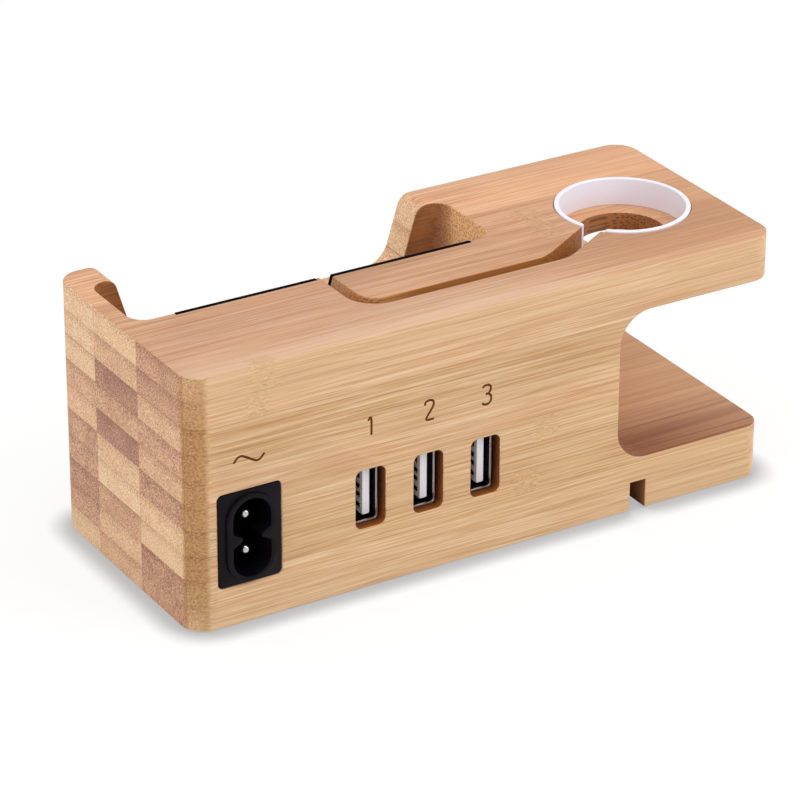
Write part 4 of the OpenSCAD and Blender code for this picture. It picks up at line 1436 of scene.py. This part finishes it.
@dataclass
class PhonePads:
    """Two soft strips on the leaning back, each cut off level with the top of the block."""

    finish: bpy.types.Material
    lean_deg: float = 20.0
    slope_foot_mm: tuple[float, float] = (-9.567, 36.3)
    foot_mm: float = 3.0
    under_mm: float = -1.0
    proud_mm: float = 0.2
    round_mm: float = 0.2
    crown_mm: float = 0.08
    rim_share: float = 0.035
    end_mm: float = 2.0
    stations: int = 24
    face_points: int = 21
    back_points: int = 6

    def build(self) -> None:
        """Makes both pads, named as foam strips."""
        for node in ("phone_pad_inlet_side", "phone_pad_watch_side"):
            low, high = box_mm(node)
            shell = Shell().loft(self.rings(low[0], high[0]))
            name = node.replace("phone_pad", "foam_strip")
            shell.piece(name, self.finish, "black_foam", node)

    def rings(self, start: float, end: float) -> np.ndarray:
        """Cross-sections from one end of a pad to the other.

        Along the pad the section shrinks at both ends by round * (1 - cos a), a quarter circle.
        Across it the face is crowned by crown * (1 - c^4), where c runs from -1 to 1 up the slope.

        Args:
            start: X of one end.
            end: X of the other.

        Returns:
            The rings.
        """
        quarter = np.radians([0.0, 30.0, 60.0, 90.0])
        inset = self.round_mm * (1 - np.sin(quarter))
        reach = self.round_mm * (1 - np.cos(quarter))
        middle = np.linspace(start + self.end_mm, end - self.end_mm, self.stations)
        places = np.concatenate([start + reach, middle, end - reach[::-1]])
        insets = np.concatenate([inset, np.zeros(self.stations), inset[::-1]])
        return np.array([self.section(x, d) for x, d in zip(places, insets)])

    def section(self, x: float, inset: float) -> np.ndarray:
        """One cross-section: its face side is crowned and round at the foot, its back is flat.

        Args:
            x: Where along the block.
            inset: How far the section is drawn in.

        Returns:
            Points round the section.
        """
        lean = math.radians(self.lean_deg)
        foot_y, foot_z = self.slope_foot_mm
        rise = TOP_MM - foot_z
        foot = self.foot_mm + inset
        crown = np.linspace(-1.0, 1.0, self.face_points)
        rim = np.clip((np.abs(crown) - (1 - self.rim_share)) / self.rim_share, 0.0, 1.0)
        out = self.proud_mm - self.crown_mm * crown**4 - inset
        out = out - self.round_mm * (1 - np.sqrt(1 - rim**2)) * (crown < 0)
        back = np.full(self.back_points, self.under_mm)
        n = np.concatenate([out, back])
        share = np.concatenate([(crown + 1) / 2, np.linspace(1.0, 0.0, self.back_points)])
        s = foot + ((rise - n * math.sin(lean)) / math.cos(lean) - foot) * share
        y = foot_y + s * math.sin(lean) - n * math.cos(lean)
        z = np.minimum(foot_z + s * math.cos(lean) + n * math.sin(lean), TOP_MM)
        return np.stack([np.full(len(y), x), y, z], -1)


@dataclass
class RubberFeet:
    """Four turned feet with a soft edge and a shallow ring in the face that stands on the table."""

    finish: bpy.types.Material
    radius_mm: float = 4.5
    height_mm: float = 1.5
    turns: int = 48
    spots_mm: tuple[tuple[float, float], ...] = (
        (-62.5, -21.35),
        (-62.5, 20.25),
        (51.5, -21.35),
        (51.5, 20.25),
    )
    tread_mm: tuple[tuple[float, float], ...] = (
        (2.0, 0.04),
        (1.75, 0.16),
        (1.35, 0.16),
        (1.1, 0.01),
        (0.55, 0.0),
        (0.25, 0.08),
        (0.07, 0.26),
        (0.0, 0.5),
    )

    def build(self) -> bpy.types.Object:
        """Turns one profile of radius and height about four upright axes: (r cos a, r sin a, z).

        The tread is given by how far each of its points lies inside the radius, and how high.

        Returns:
            The piece.
        """
        tread = [(self.radius_mm - inwards, up) for inwards, up in self.tread_mm]
        top = [(self.radius_mm, self.height_mm), (0.05, self.height_mm)]
        profile = np.array([(0.05, 0.05), *tread, *top])
        turn = np.linspace(0.0, 2 * math.pi, self.turns + 1)[:-1]
        up = np.repeat(profile[:, 1:], len(turn), 1)
        shell = Shell()
        for x, y in self.spots_mm:
            across = profile[:, :1] * np.cos(turn) + x
            deep = profile[:, :1] * np.sin(turn) + y
            shell.loft(np.stack([across, deep, up], -1))
        return shell.piece("table_feet", self.finish, "foot_rubber", "rubber_feet")


@dataclass
class InletHousing:
    """Two-pole mains inlet: flat plate, raised rim and a deep socket with a notch on either side.

    notch_mm holds half the notch's base, half its tip and its depth. root_mm holds how far the
    rim's root spreads on the plate, and how high above it.
    """

    finish: bpy.types.Material
    plate_mm: tuple[float, float, float] = (15.1, 22.0, 1.2)
    socket_mm: tuple[float, float] = (8.9, 18.3)
    rim_mm: tuple[float, float] = (11.9, 20.6)
    rim_proud_mm: float = 1.1
    root_mm: tuple[tuple[float, float], ...] = ((0.12, 0.0), (0.03, 0.05), (0.0, 0.2))
    socket_depth_mm: float = 12.5
    notch_mm: tuple[float, float, float] = (1.7, 0.45, 2.2)
    edge_mm: float = 0.3
    arc_points: int = 14
    half_side_points: tuple[float, ...] = (
        0.094, 0.14, 0.22, 0.3, 0.354, 0.42, 0.55, 0.75, 0.92,
    )

    def outline(
        self, width: float, height: float, radius: float = math.inf, notched: bool = False
    ) -> np.ndarray:
        """Outline with the same number of points for every size, so that rings can be joined.

        Four quarter circles of radius r, joined by straight sides whose points lie at fixed shares
        of half their length. On a notched outline the upright sides are pushed in by
        depth * clamp((base - |z|) / (base - tip)).

        Args:
            width: Full width.
            height: Full height.
            radius: Corner radius, at most half the width.
            notched: Whether the sides have the notch.

        Returns:
            Points of (across, up).
        """
        radius = min(radius, width / 2 - 1e-4)
        turn = np.linspace(0.0, math.pi / 2, self.arc_points)
        half = np.array(self.half_side_points)
        share = np.concatenate([-half[::-1], [0.0], half])
        half_w, half_h = width / 2 - radius, height / 2 - radius
        base, tip, depth = self.notch_mm
        slope = np.clip((base - np.abs(share * half_h)) / (base - tip), 0.0, 1.0)
        push = depth * slope * notched
        flat = np.full(len(share), height / 2)
        sides = (
            (width / 2 - push, share * half_h),
            (-share * half_w, flat),
            (-width / 2 + push, -share * half_h),
            (share * half_w, -flat),
        )
        signs = ((1, 1), (-1, 1), (-1, -1), (1, -1))
        parts = []
        for quarter, (side, (sx, sy)) in enumerate(zip(sides, signs)):
            angle = turn + quarter * math.pi / 2
            corner = (sx * half_w + radius * np.cos(angle), sy * half_h + radius * np.sin(angle))
            parts += [np.stack(side, -1), np.stack(corner, -1)]
        return np.concatenate(parts)

    @staticmethod
    def widened(outline: np.ndarray, by: float) -> np.ndarray:
        """Moves each point along the outline's outward normal, from its neighbours' difference.

        Args:
            outline: The outline.
            by: How far.

        Returns:
            The moved outline.
        """
        along = np.roll(outline, -1, 0) - np.roll(outline, 1, 0)
        normal = np.stack([along[:, 1], -along[:, 0]], -1)
        return outline + by * normal / np.linalg.norm(normal, axis=1, keepdims=True)

    def build(self) -> bpy.types.Object:
        """Joins outlines from the back, over the plate and the rim, down into the socket.

        Returns:
            The piece.
        """
        low, high = box_mm("inlet_housing")
        front = high[1]
        face = front - self.rim_proud_mm
        edge, ease = self.edge_mm, 0.3 * self.edge_mm
        plate, rim = self.outline(*self.plate_mm), self.outline(*self.rim_mm)
        socket = self.outline(*self.socket_mm, notched=True)
        steps = [
            (plate, low[1]),
            (plate, face - edge),
            (self.widened(plate, -ease), face - ease),
            (self.widened(plate, -edge), face),
            *((self.widened(rim, spread), face + up) for spread, up in self.root_mm),
            (rim, front - edge),
            (self.widened(rim, -ease), front - ease),
            (self.widened(rim, -edge), front),
            (self.widened(socket, edge), front),
            (self.widened(socket, ease), front - ease),
            (socket, front - edge),
            (socket, front - self.socket_depth_mm),
        ]
        shell = Shell().loft(upright_rings(steps, middle_xz(low, high)))
        return shell.piece(
            "inlet_moulding", self.finish, "inlet_black", "inlet_housing", smooth_deg=30.0
        )


@dataclass
class UsbSocket:
    """One upright socket: a folded sheet shell with springs, and a pale insert with its tongue."""

    index: int
    shell_finish: bpy.types.Material
    insert_finish: bpy.types.Material
    sheet_mm: float = 0.3
    flare_mm: float = 0.16
    lip_mm: float = 0.9
    base_mm: float = 4.5
    tongue_mm: tuple[float, float] = (1.84, 11.1)
    tongue_shift_mm: float = -0.64
    tongue_recess_mm: float = 0.8
    spring_mm: tuple[float, float, float] = (2.0, 5.5, 0.62)
    spring_sheet_mm: float = 0.14
    spring_start_mm: float = 1.6
    springs_up_mm: tuple[float, float] = (-3.2, 3.2)

    def build(self) -> None:
        """Makes the shell and the insert."""
        low, high = box_mm(f"usb_shell_{self.index}")
        self.shell(low, high)
        self.insert(low, high)

    def shell(self, low: np.ndarray, high: np.ndarray) -> None:
        """Joins round-cornered outlines: back, outside, rolled lip, inside, back wall.

        Args:
            low: The shell's lowest corner.
            high: Its highest corner.
        """
        front, sheet = high[1], self.sheet_mm
        width, height = high[0] - low[0], high[2] - low[2]
        centre = middle_xz(low, high)
        flare = 2 * self.flare_mm
        # How much wider and taller than the shell, corner radius, Y.
        profile = (
            (0.0, 0.7, low[1]),
            (0.0, 0.7, front - self.lip_mm),
            (flare / 2, 0.75, front - 0.35),
            (flare, 0.8, front - 0.08),
            (flare - 0.16, 0.75, front),
            (flare - 2 * sheet + 0.1, 0.55, front),
            (flare - 2 * sheet, 0.5, front - 0.08),
            (-2 * sheet, 0.4, front - self.lip_mm),
            (-2 * sheet, 0.4, low[1] + sheet),
        )
        steps = [(width + wider, height + wider, r, y, 0.0) for wider, r, y in profile]
        made = Shell().loft(outline_rings(*steps, centre=centre))
        for side in (-1, 1):
            for up in self.springs_up_mm:
                made.loft(self.spring(centre, front, side * (width / 2 - sheet), up))
        name = f"usb_shell_{self.index}"
        made.piece(f"socket_can_{self.index}", self.shell_finish, "shell_metal", name)

    def spring(
        self, centre: tuple[float, float], front: float, wall: float, up: float
    ) -> np.ndarray:
        """A spring that bends inwards from a side wall and back again.

        Along its length s from 0 to 1 it stands in by reach * sin(pi * s^0.7), from the wall.

        Args:
            centre: X and Z of the socket's middle.
            front: Y of the mouth.
            wall: X of the wall's inner face, from the middle.
            up: Height of the spring's middle, from the socket's.

        Returns:
            Rings of four corners.
        """
        width, length, reach = self.spring_mm
        s = np.linspace(0.0, 1.0, 14)[:, None]
        stand = reach * np.sin(math.pi * s**0.7) * -np.sign(wall)
        x = centre[0] + wall + stand + np.array([-1, 1, 1, -1]) * self.spring_sheet_mm / 2
        y = front - self.spring_start_mm - s * length + np.zeros(4)
        z = centre[1] + up + np.array([-1, -1, 1, 1]) * width / 2 + 0.0 * s
        return np.stack([x, y, z], -1)

    def insert(self, low: np.ndarray, high: np.ndarray) -> None:
        """Joins outlines from the back of the base to the rounded front of the tongue.

        Args:
            low: The shell's lowest corner.
            high: Its highest corner.
        """
        width, height = (high[axis] - low[axis] - 2 * self.sheet_mm for axis in (0, 2))
        back = low[1] + self.sheet_mm
        base = back + self.base_mm
        front = high[1] - self.tongue_recess_mm
        thick, tall = self.tongue_mm
        # How much smaller than the base or the tongue, corner radius, Y.
        base_steps = ((0.0, 0.4, back), (0.0, 0.4, base - 0.1), (0.2, 0.35, base))
        tongue_steps = (
            (-0.2, 0.3, base),
            (0.0, 0.2, base + 0.1),
            (0.0, 0.2, front - 0.3),
            (0.12, 0.3, front - 0.1),
            (0.45, 0.3, front),
        )
        steps = [(width - less, height - less, r, y, 0.0) for less, r, y in base_steps]
        steps += [
            (thick - less, tall - less, r, y, self.tongue_shift_mm) for less, r, y in tongue_steps
        ]
        name = f"usb_insert_{self.index}"
        shell = Shell().loft(outline_rings(*steps, centre=middle_xz(low, high)))
        shell.piece(f"socket_tongue_{self.index}", self.insert_finish, "insert_white", name)


class Mark(Enum):
    """Plain marks burnt into the rear face, as strokes of (right, up) shares of their height."""

    ONE = (((-0.17, 0.78), (0.02, 1.0), (0.02, 0.0)),)
    TWO = (
        (
            (-0.24, 0.78), (-0.22, 0.92), (-0.08, 1.0), (0.08, 1.0), (0.22, 0.92),
            (0.24, 0.76), (0.18, 0.6), (-0.25, 0.0), (0.26, 0.0),
        ),
    )
    THREE = (
        (
            (-0.24, 0.9), (-0.1, 1.0), (0.1, 1.0), (0.22, 0.9),
            (0.22, 0.68), (0.1, 0.55), (-0.06, 0.54),
        ),
        (
            (-0.06, 0.54), (0.12, 0.53), (0.25, 0.4), (0.25, 0.14),
            (0.1, 0.0), (-0.1, 0.0), (-0.25, 0.1),
        ),
    )
    WAVE = (
        (
            (-0.8, 0.42), (-0.6, 0.66), (-0.4, 0.72), (-0.2, 0.62), (0.0, 0.5),
            (0.2, 0.38), (0.4, 0.28), (0.6, 0.34), (0.8, 0.58),
        ),
    )


@dataclass
class BurntMarks:
    """Numbers of the sockets and a plain wave above the mains inlet, burnt into the rear face."""

    finish: bpy.types.Material
    height_mm: float = 4.6
    foot_mm: float = 36.6
    half_width_mm: float = 0.27
    proud_mm: float = 0.03
    cut_share: float = 0.2
    end_share: float = 0.35
    places_mm: tuple[tuple[Mark, float], ...] = (
        *zip((Mark.ONE, Mark.TWO, Mark.THREE), SOCKETS_X_MM),
        (Mark.WAVE, 59.6),
    )

    def build(self) -> bpy.types.Object:
        """Carries a flat ellipse along each stroke: (half width * cos a across, proud * sin a out).

        Returns:
            The piece.
        """
        shell = Shell()
        for mark, x in self.places_mm:
            for stroke in mark.value:
                shell.loft(self.ribbon(np.array(stroke) * self.height_mm, x))
        return shell.piece("burnt_marks", self.finish, "bamboo")

    def ribbon(self, stroke: np.ndarray, x: float) -> np.ndarray:
        """Rings of one stroke, whose corners are cut twice so that it bends smoothly.

        Args:
            stroke: Its points, right and up.
            x: Place of the mark's middle along the block.

        Returns:
            The rings.
        """
        near, far = 1 - self.cut_share, self.cut_share
        for _ in range(2):
            a, b = stroke[:-1], stroke[1:]
            cut = np.stack([a * near + b * far, a * far + b * near], 1).reshape(-1, 2)
            stroke = np.concatenate([stroke[:1], cut, stroke[-1:]])
        along = np.gradient(stroke, axis=0)
        along /= np.linalg.norm(along, axis=1, keepdims=True)
        across = np.stack([-along[:, 1], along[:, 0]], -1)
        turn = np.linspace(0.0, 2 * math.pi, 9)[:-1]
        taper = np.ones(len(stroke))
        taper[[0, -1]] = self.end_share
        side = self.half_width_mm * np.cos(turn)[None, :] * taper[:, None]
        out = self.proud_mm * np.sin(turn)[None, :] * taper[:, None]
        right = stroke[:, :1] + across[:, :1] * side
        up = stroke[:, 1:] + across[:, 1:] * side
        return np.stack([x - right, REAR_MM + out, self.foot_mm + up], -1)


@dataclass(frozen=True)
class Lamp:
    """A soft square lamp: its place and the point it faces in metres, its side and its watts."""

    name: str
    place: Point
    aim: Point
    side: float
    watts: float

    def build(self) -> None:
        """Hangs the lamp."""
        data = bpy.data.lights.new(self.name, "AREA")
        data.shape = "SQUARE"
        data.size = self.side
        data.energy = self.watts
        lamp = bpy.data.objects.new(self.name, data)
        lamp.location = self.place
        lamp.rotation_mode = "QUATERNION"
        ahead = Vector(self.aim) - Vector(self.place)
        lamp.rotation_quaternion = ahead.to_track_quat("-Z", "Y")
        bpy.context.scene.collection.objects.link(lamp)


@dataclass
class Studio:
    """Floor, light and camera.

    The floor carries a painted contact shadow: darker within contact_mm of what stands on it, by
    openness ^ contact_power, but never below contact_floor. gloss_sky and room_light are the
    world's strength to gloss and to the rest, where 1 is what the camera sees.
    """

    lamps: tuple[Lamp, ...] = (
        Lamp("key", (-0.5, 0.62, 0.64), (0.0, 0.0, 0.03), 0.55, 3.15),
        Lamp("side", (1.3, 0.3, 0.7), (0.0, 0.0, 0.03), 0.8, 3.0),
        Lamp("top", (0.1, 0.1, 1.4), (0.0, 0.0, 0.0), 1.2, 4.1),
    )
    camera_mm: Point = (405.19, 661.78, 412.3)
    azimuth_deg: float = 31.149
    elevation_deg: float = 26.562
    roll_deg: float = 0.282
    lens_mm: float = 176.38
    sensor_mm: float = 36.0
    floor_half_m: float = 6.0
    floor_points: int = 9
    floor_white: float = 0.8
    glow_share: float = 0.8
    contact_mm: float = 6.5
    contact_power: float = 1.4
    contact_floor: float = 0.55
    contact_samples: int = 12
    gloss_sky: float = 0.55
    room_light: float = 0.72

    def build(self) -> None:
        """Puts up the floor, the world, the lamps and the camera."""
        self.floor()
        self.world()
        for lamp in self.lamps:
            lamp.build()
        self.camera()

    def floor(self) -> None:
        """Lays a wide floor, a sheet whose height is zero everywhere, and paints it.

        The camera sees it glow white. A painted soft shadow darkens its colour and its glow where
        something stands close to it.
        """
        count = self.floor_points
        steps = np.linspace(-self.floor_half_m, self.floor_half_m, count)
        xs, ys = np.meshgrid(steps, steps)
        points = np.stack([xs.ravel(), ys.ravel(), np.zeros(xs.size)], -1)
        mesh = bpy.data.meshes.new("floor")
        mesh.from_pydata(points.tolist(), [], grid_faces(count, count, closed=False))
        material = bpy.data.materials.new("floor_white")
        material.use_nodes = True
        tree = material.node_tree
        tree.nodes.clear()
        graph = Graph(tree)
        path = graph.node("ShaderNodeLightPath")
        seen = Num(graph, path.outputs["Is Camera Ray"])
        # painted contact shadow: ambient occlusion darkens the floor's colour and glow
        near = graph.node("ShaderNodeAmbientOcclusion", samples=self.contact_samples)
        near.inputs["Distance"].default_value = self.contact_mm * MM
        openness = Num(graph, near.outputs["AO"])
        openness = openness.op("POWER", self.contact_power).max(self.contact_floor)
        grey = graph.join(openness, openness, openness)
        white = self.floor_white
        diffuse = graph.node("ShaderNodeBsdfDiffuse")
        graph.feed(diffuse.inputs["Color"], graph.mix(seen, (white, white, white, 1.0), grey))
        glow = graph.node("ShaderNodeEmission")
        graph.feed(glow.inputs["Color"], grey)
        mixed = graph.node("ShaderNodeMixShader")
        graph.feed(mixed.inputs[0], seen * self.glow_share)
        tree.links.new(diffuse.outputs[0], mixed.inputs[1])
        tree.links.new(glow.outputs[0], mixed.inputs[2])
        out = graph.node("ShaderNodeOutputMaterial")
        tree.links.new(mixed.outputs[0], out.inputs["Surface"])
        mesh.materials.append(material)
        made = bpy.data.objects.new("floor", mesh)
        bpy.context.scene.collection.objects.link(made)

    def world(self) -> None:
        """Fills the room with an even pale light, and shows white to the camera."""
        world = bpy.data.worlds.new("studio")
        bpy.context.scene.world = world
        world.use_nodes = True
        tree = world.node_tree
        tree.nodes.clear()
        graph = Graph(tree)
        path = graph.node("ShaderNodeLightPath")
        through = Num(graph, path.outputs["Is Transmission Ray"])
        seen = Num(graph, path.outputs["Is Camera Ray"]).max(through)
        shine = Num(graph, path.outputs["Is Glossy Ray"])
        background = graph.node("ShaderNodeBackground")
        background.inputs["Color"].default_value = (1.0, 1.0, 1.0, 1.0)
        strength = seen.max(shine * self.gloss_sky).max(self.room_light)
        graph.feed(background.inputs["Strength"], strength)
        out = graph.node("ShaderNodeOutputWorld")
        tree.links.new(background.outputs[0], out.inputs["Surface"])

    def camera(self) -> None:
        """Places the camera where the photograph was taken from.

        It looks along (-sin azimuth cos elevation, -cos azimuth cos elevation, -sin elevation),
        and is rolled about that line.
        """
        angles = (self.azimuth_deg, self.elevation_deg, self.roll_deg)
        azimuth, elevation, roll = (math.radians(angle) for angle in angles)
        level = Vector((-math.sin(azimuth), -math.cos(azimuth), 0.0))
        ahead = level * math.cos(elevation) - Vector((0.0, 0.0, math.sin(elevation)))
        right = Vector((-math.cos(azimuth), math.sin(azimuth), 0.0))
        up = right.cross(ahead)
        turned_right = right * math.cos(roll) + up * math.sin(roll)
        turned_up = up * math.cos(roll) - right * math.sin(roll)
        data = bpy.data.cameras.new("camera")
        data.sensor_width = self.sensor_mm
        data.lens = self.lens_mm
        data.clip_start, data.clip_end = 0.01, 50.0
        camera = bpy.data.objects.new("camera", data)
        turn = Matrix((turned_right, turned_up, -ahead)).transposed()
        camera.matrix_world = Matrix.Translation(Vector(self.camera_mm) * MM) @ turn.to_4x4()
        bpy.context.scene.collection.objects.link(camera)
        bpy.context.scene.camera = camera


def metal(name: str, color: Rgb, gloss: float, depth: float, **more: float) -> Finish:
    """A drawn metal finish; depth of its marks in metres."""
    return Finish(name, color, gloss, depth=depth, metallic=1.0, effect=Effect.BRUSHED, **more)


WHITE = Finish("ring_plastic", (240, 237, 248), 0.38, 2200.0, 0.000004, specular=0.45)
FOAM = Finish("pad_foam", (9, 8, 8), 0.95, 4200.0, 0.00005, specular=0.05)
RUBBER = Finish("foot_rubber_soft", (28, 28, 30), 0.75, 3000.0, 0.00002, specular=0.3)
INLET = Finish("inlet_plastic", (10, 7, 13), 0.36, 3600.0, 0.000006, specular=0.13)
TONGUE = Finish("tongue_plastic", (248, 246, 252), 0.4, 2000.0, 0.000003)
BURNT = Finish("burnt_wood", (98, 50, 20), 0.9, 5200.0, 0.00003, specular=0.15)
COVER = Finish("cover_plastic", (34, 34, 37), 0.55, 1600.0, 0.00003)
CHIP = Finish("chip_resin", (32, 32, 35), 0.6, 3400.0, 0.00001)
CHIP_WHITE = Finish("coupler_resin", (222, 222, 218), 0.55, 3400.0, 0.00001)
TERMINAL = Finish("terminal_plastic", (34, 122, 62), 0.42, 1800.0, 0.00001)
BROWN_LEAD = Finish("lead_sleeve_brown", (104, 62, 36), 0.42, 2600.0, 0.000008)
BLUE_LEAD = Finish("lead_sleeve_blue", (44, 92, 168), 0.42, 2600.0, 0.000008)
FERRITE = Finish("ferrite_ring", (62, 62, 66), 0.62, 2800.0, 0.00002)
TAPE = Finish("winding_tape", (226, 190, 62), 0.35, 1200.0, 0.00004, stripes=0.0024)
FILM = Finish("film_box", (214, 176, 60), 0.4, 2000.0, 0.000008)
SLEEVE = Finish("capacitor_sleeve", (34, 44, 82), 0.3, 1500.0, 0.000006, coat=0.2)
DISC = Finish("disc_lacquer", (60, 112, 178), 0.35, 1500.0, 0.00002, coat=0.2)
TIN = metal("tinned_steel", (250, 244, 248), 0.3, 0.000003, mouth_mm=27.35)
NICKEL = metal("nickel_pin", (214, 212, 208), 0.16, 0.000002)
GOLD = metal("gold_contact", (214, 172, 88), 0.2, 0.000002)
STEEL = metal("screw_zinc", (176, 178, 182), 0.3, 0.000004)
ALUMINIUM = metal("sink_metal", (188, 190, 194), 0.34, 0.000006)
ENAMEL = metal("copper_wire", (182, 98, 48), 0.28, 0.00012, stripes=0.0008)

CAD_FINISHES: dict[str, Finish | BoardFinish] = {
    "base_cover": COVER,
    "cover_screws": STEEL,
    "inlet_pins": NICKEL,
    "usb_contacts_1": GOLD,
    "usb_contacts_2": GOLD,
    "usb_contacts_3": GOLD,
    "circuit_board": BoardFinish(),
    "board_screws": STEEL,
    "mains_terminal": TERMINAL,
    "lead_live": BROWN_LEAD,
    "lead_neutral": BLUE_LEAD,
    "mains_fuse": CHIP,
    "choke_core": FERRITE,
    "choke_winding": ENAMEL,
    "filter_capacitor": FILM,
    "bridge_rectifier": CHIP,
    "storage_capacitors": SLEEVE,
    "transformer_core": FERRITE,
    "transformer_bobbin": CHIP,
    "transformer_winding": TAPE,
    "controller_chip": CHIP,
    "optocoupler": CHIP_WHITE,
    "safety_capacitor": DISC,
    "heat_sink": ALUMINIUM,
    "output_diode": CHIP,
    "output_capacitors": SLEEVE,
    "output_coil": ENAMEL,
}


def dress_cad_nodes() -> None:
    """Gives each node that stays as it is its finish, each finish built once."""
    built: dict[str, bpy.types.Material] = {}
    for name, finish in CAD_FINISHES.items():
        if finish.name not in built:
            built[finish.name] = finish.build()
        for slot in frame["nodes"][name].material_slots:
            slot.material = built[finish.name]
        log.info("%s: %s", name, finish.name)


def main() -> None:
    """Builds the studio and the block, piece by piece."""
    logging.basicConfig(level=logging.INFO, format="%(name)s %(message)s")
    bpy.context.scene.view_settings.view_transform = "Standard"
    Studio().build()
    BambooBlock(BambooFinish().build()).build()
    WatchRing(WHITE.build()).build()
    PhonePads(FOAM.build()).build()
    RubberFeet(RUBBER.build()).build()
    InletHousing(INLET.build()).build()
    tin, tongue = TIN.build(), TONGUE.build()
    for index in (1, 2, 3):
        UsbSocket(index, tin, tongue).build()
    BurntMarks(BURNT.build()).build()
    dress_cad_nodes()


if __name__ == "__main__":
    main()
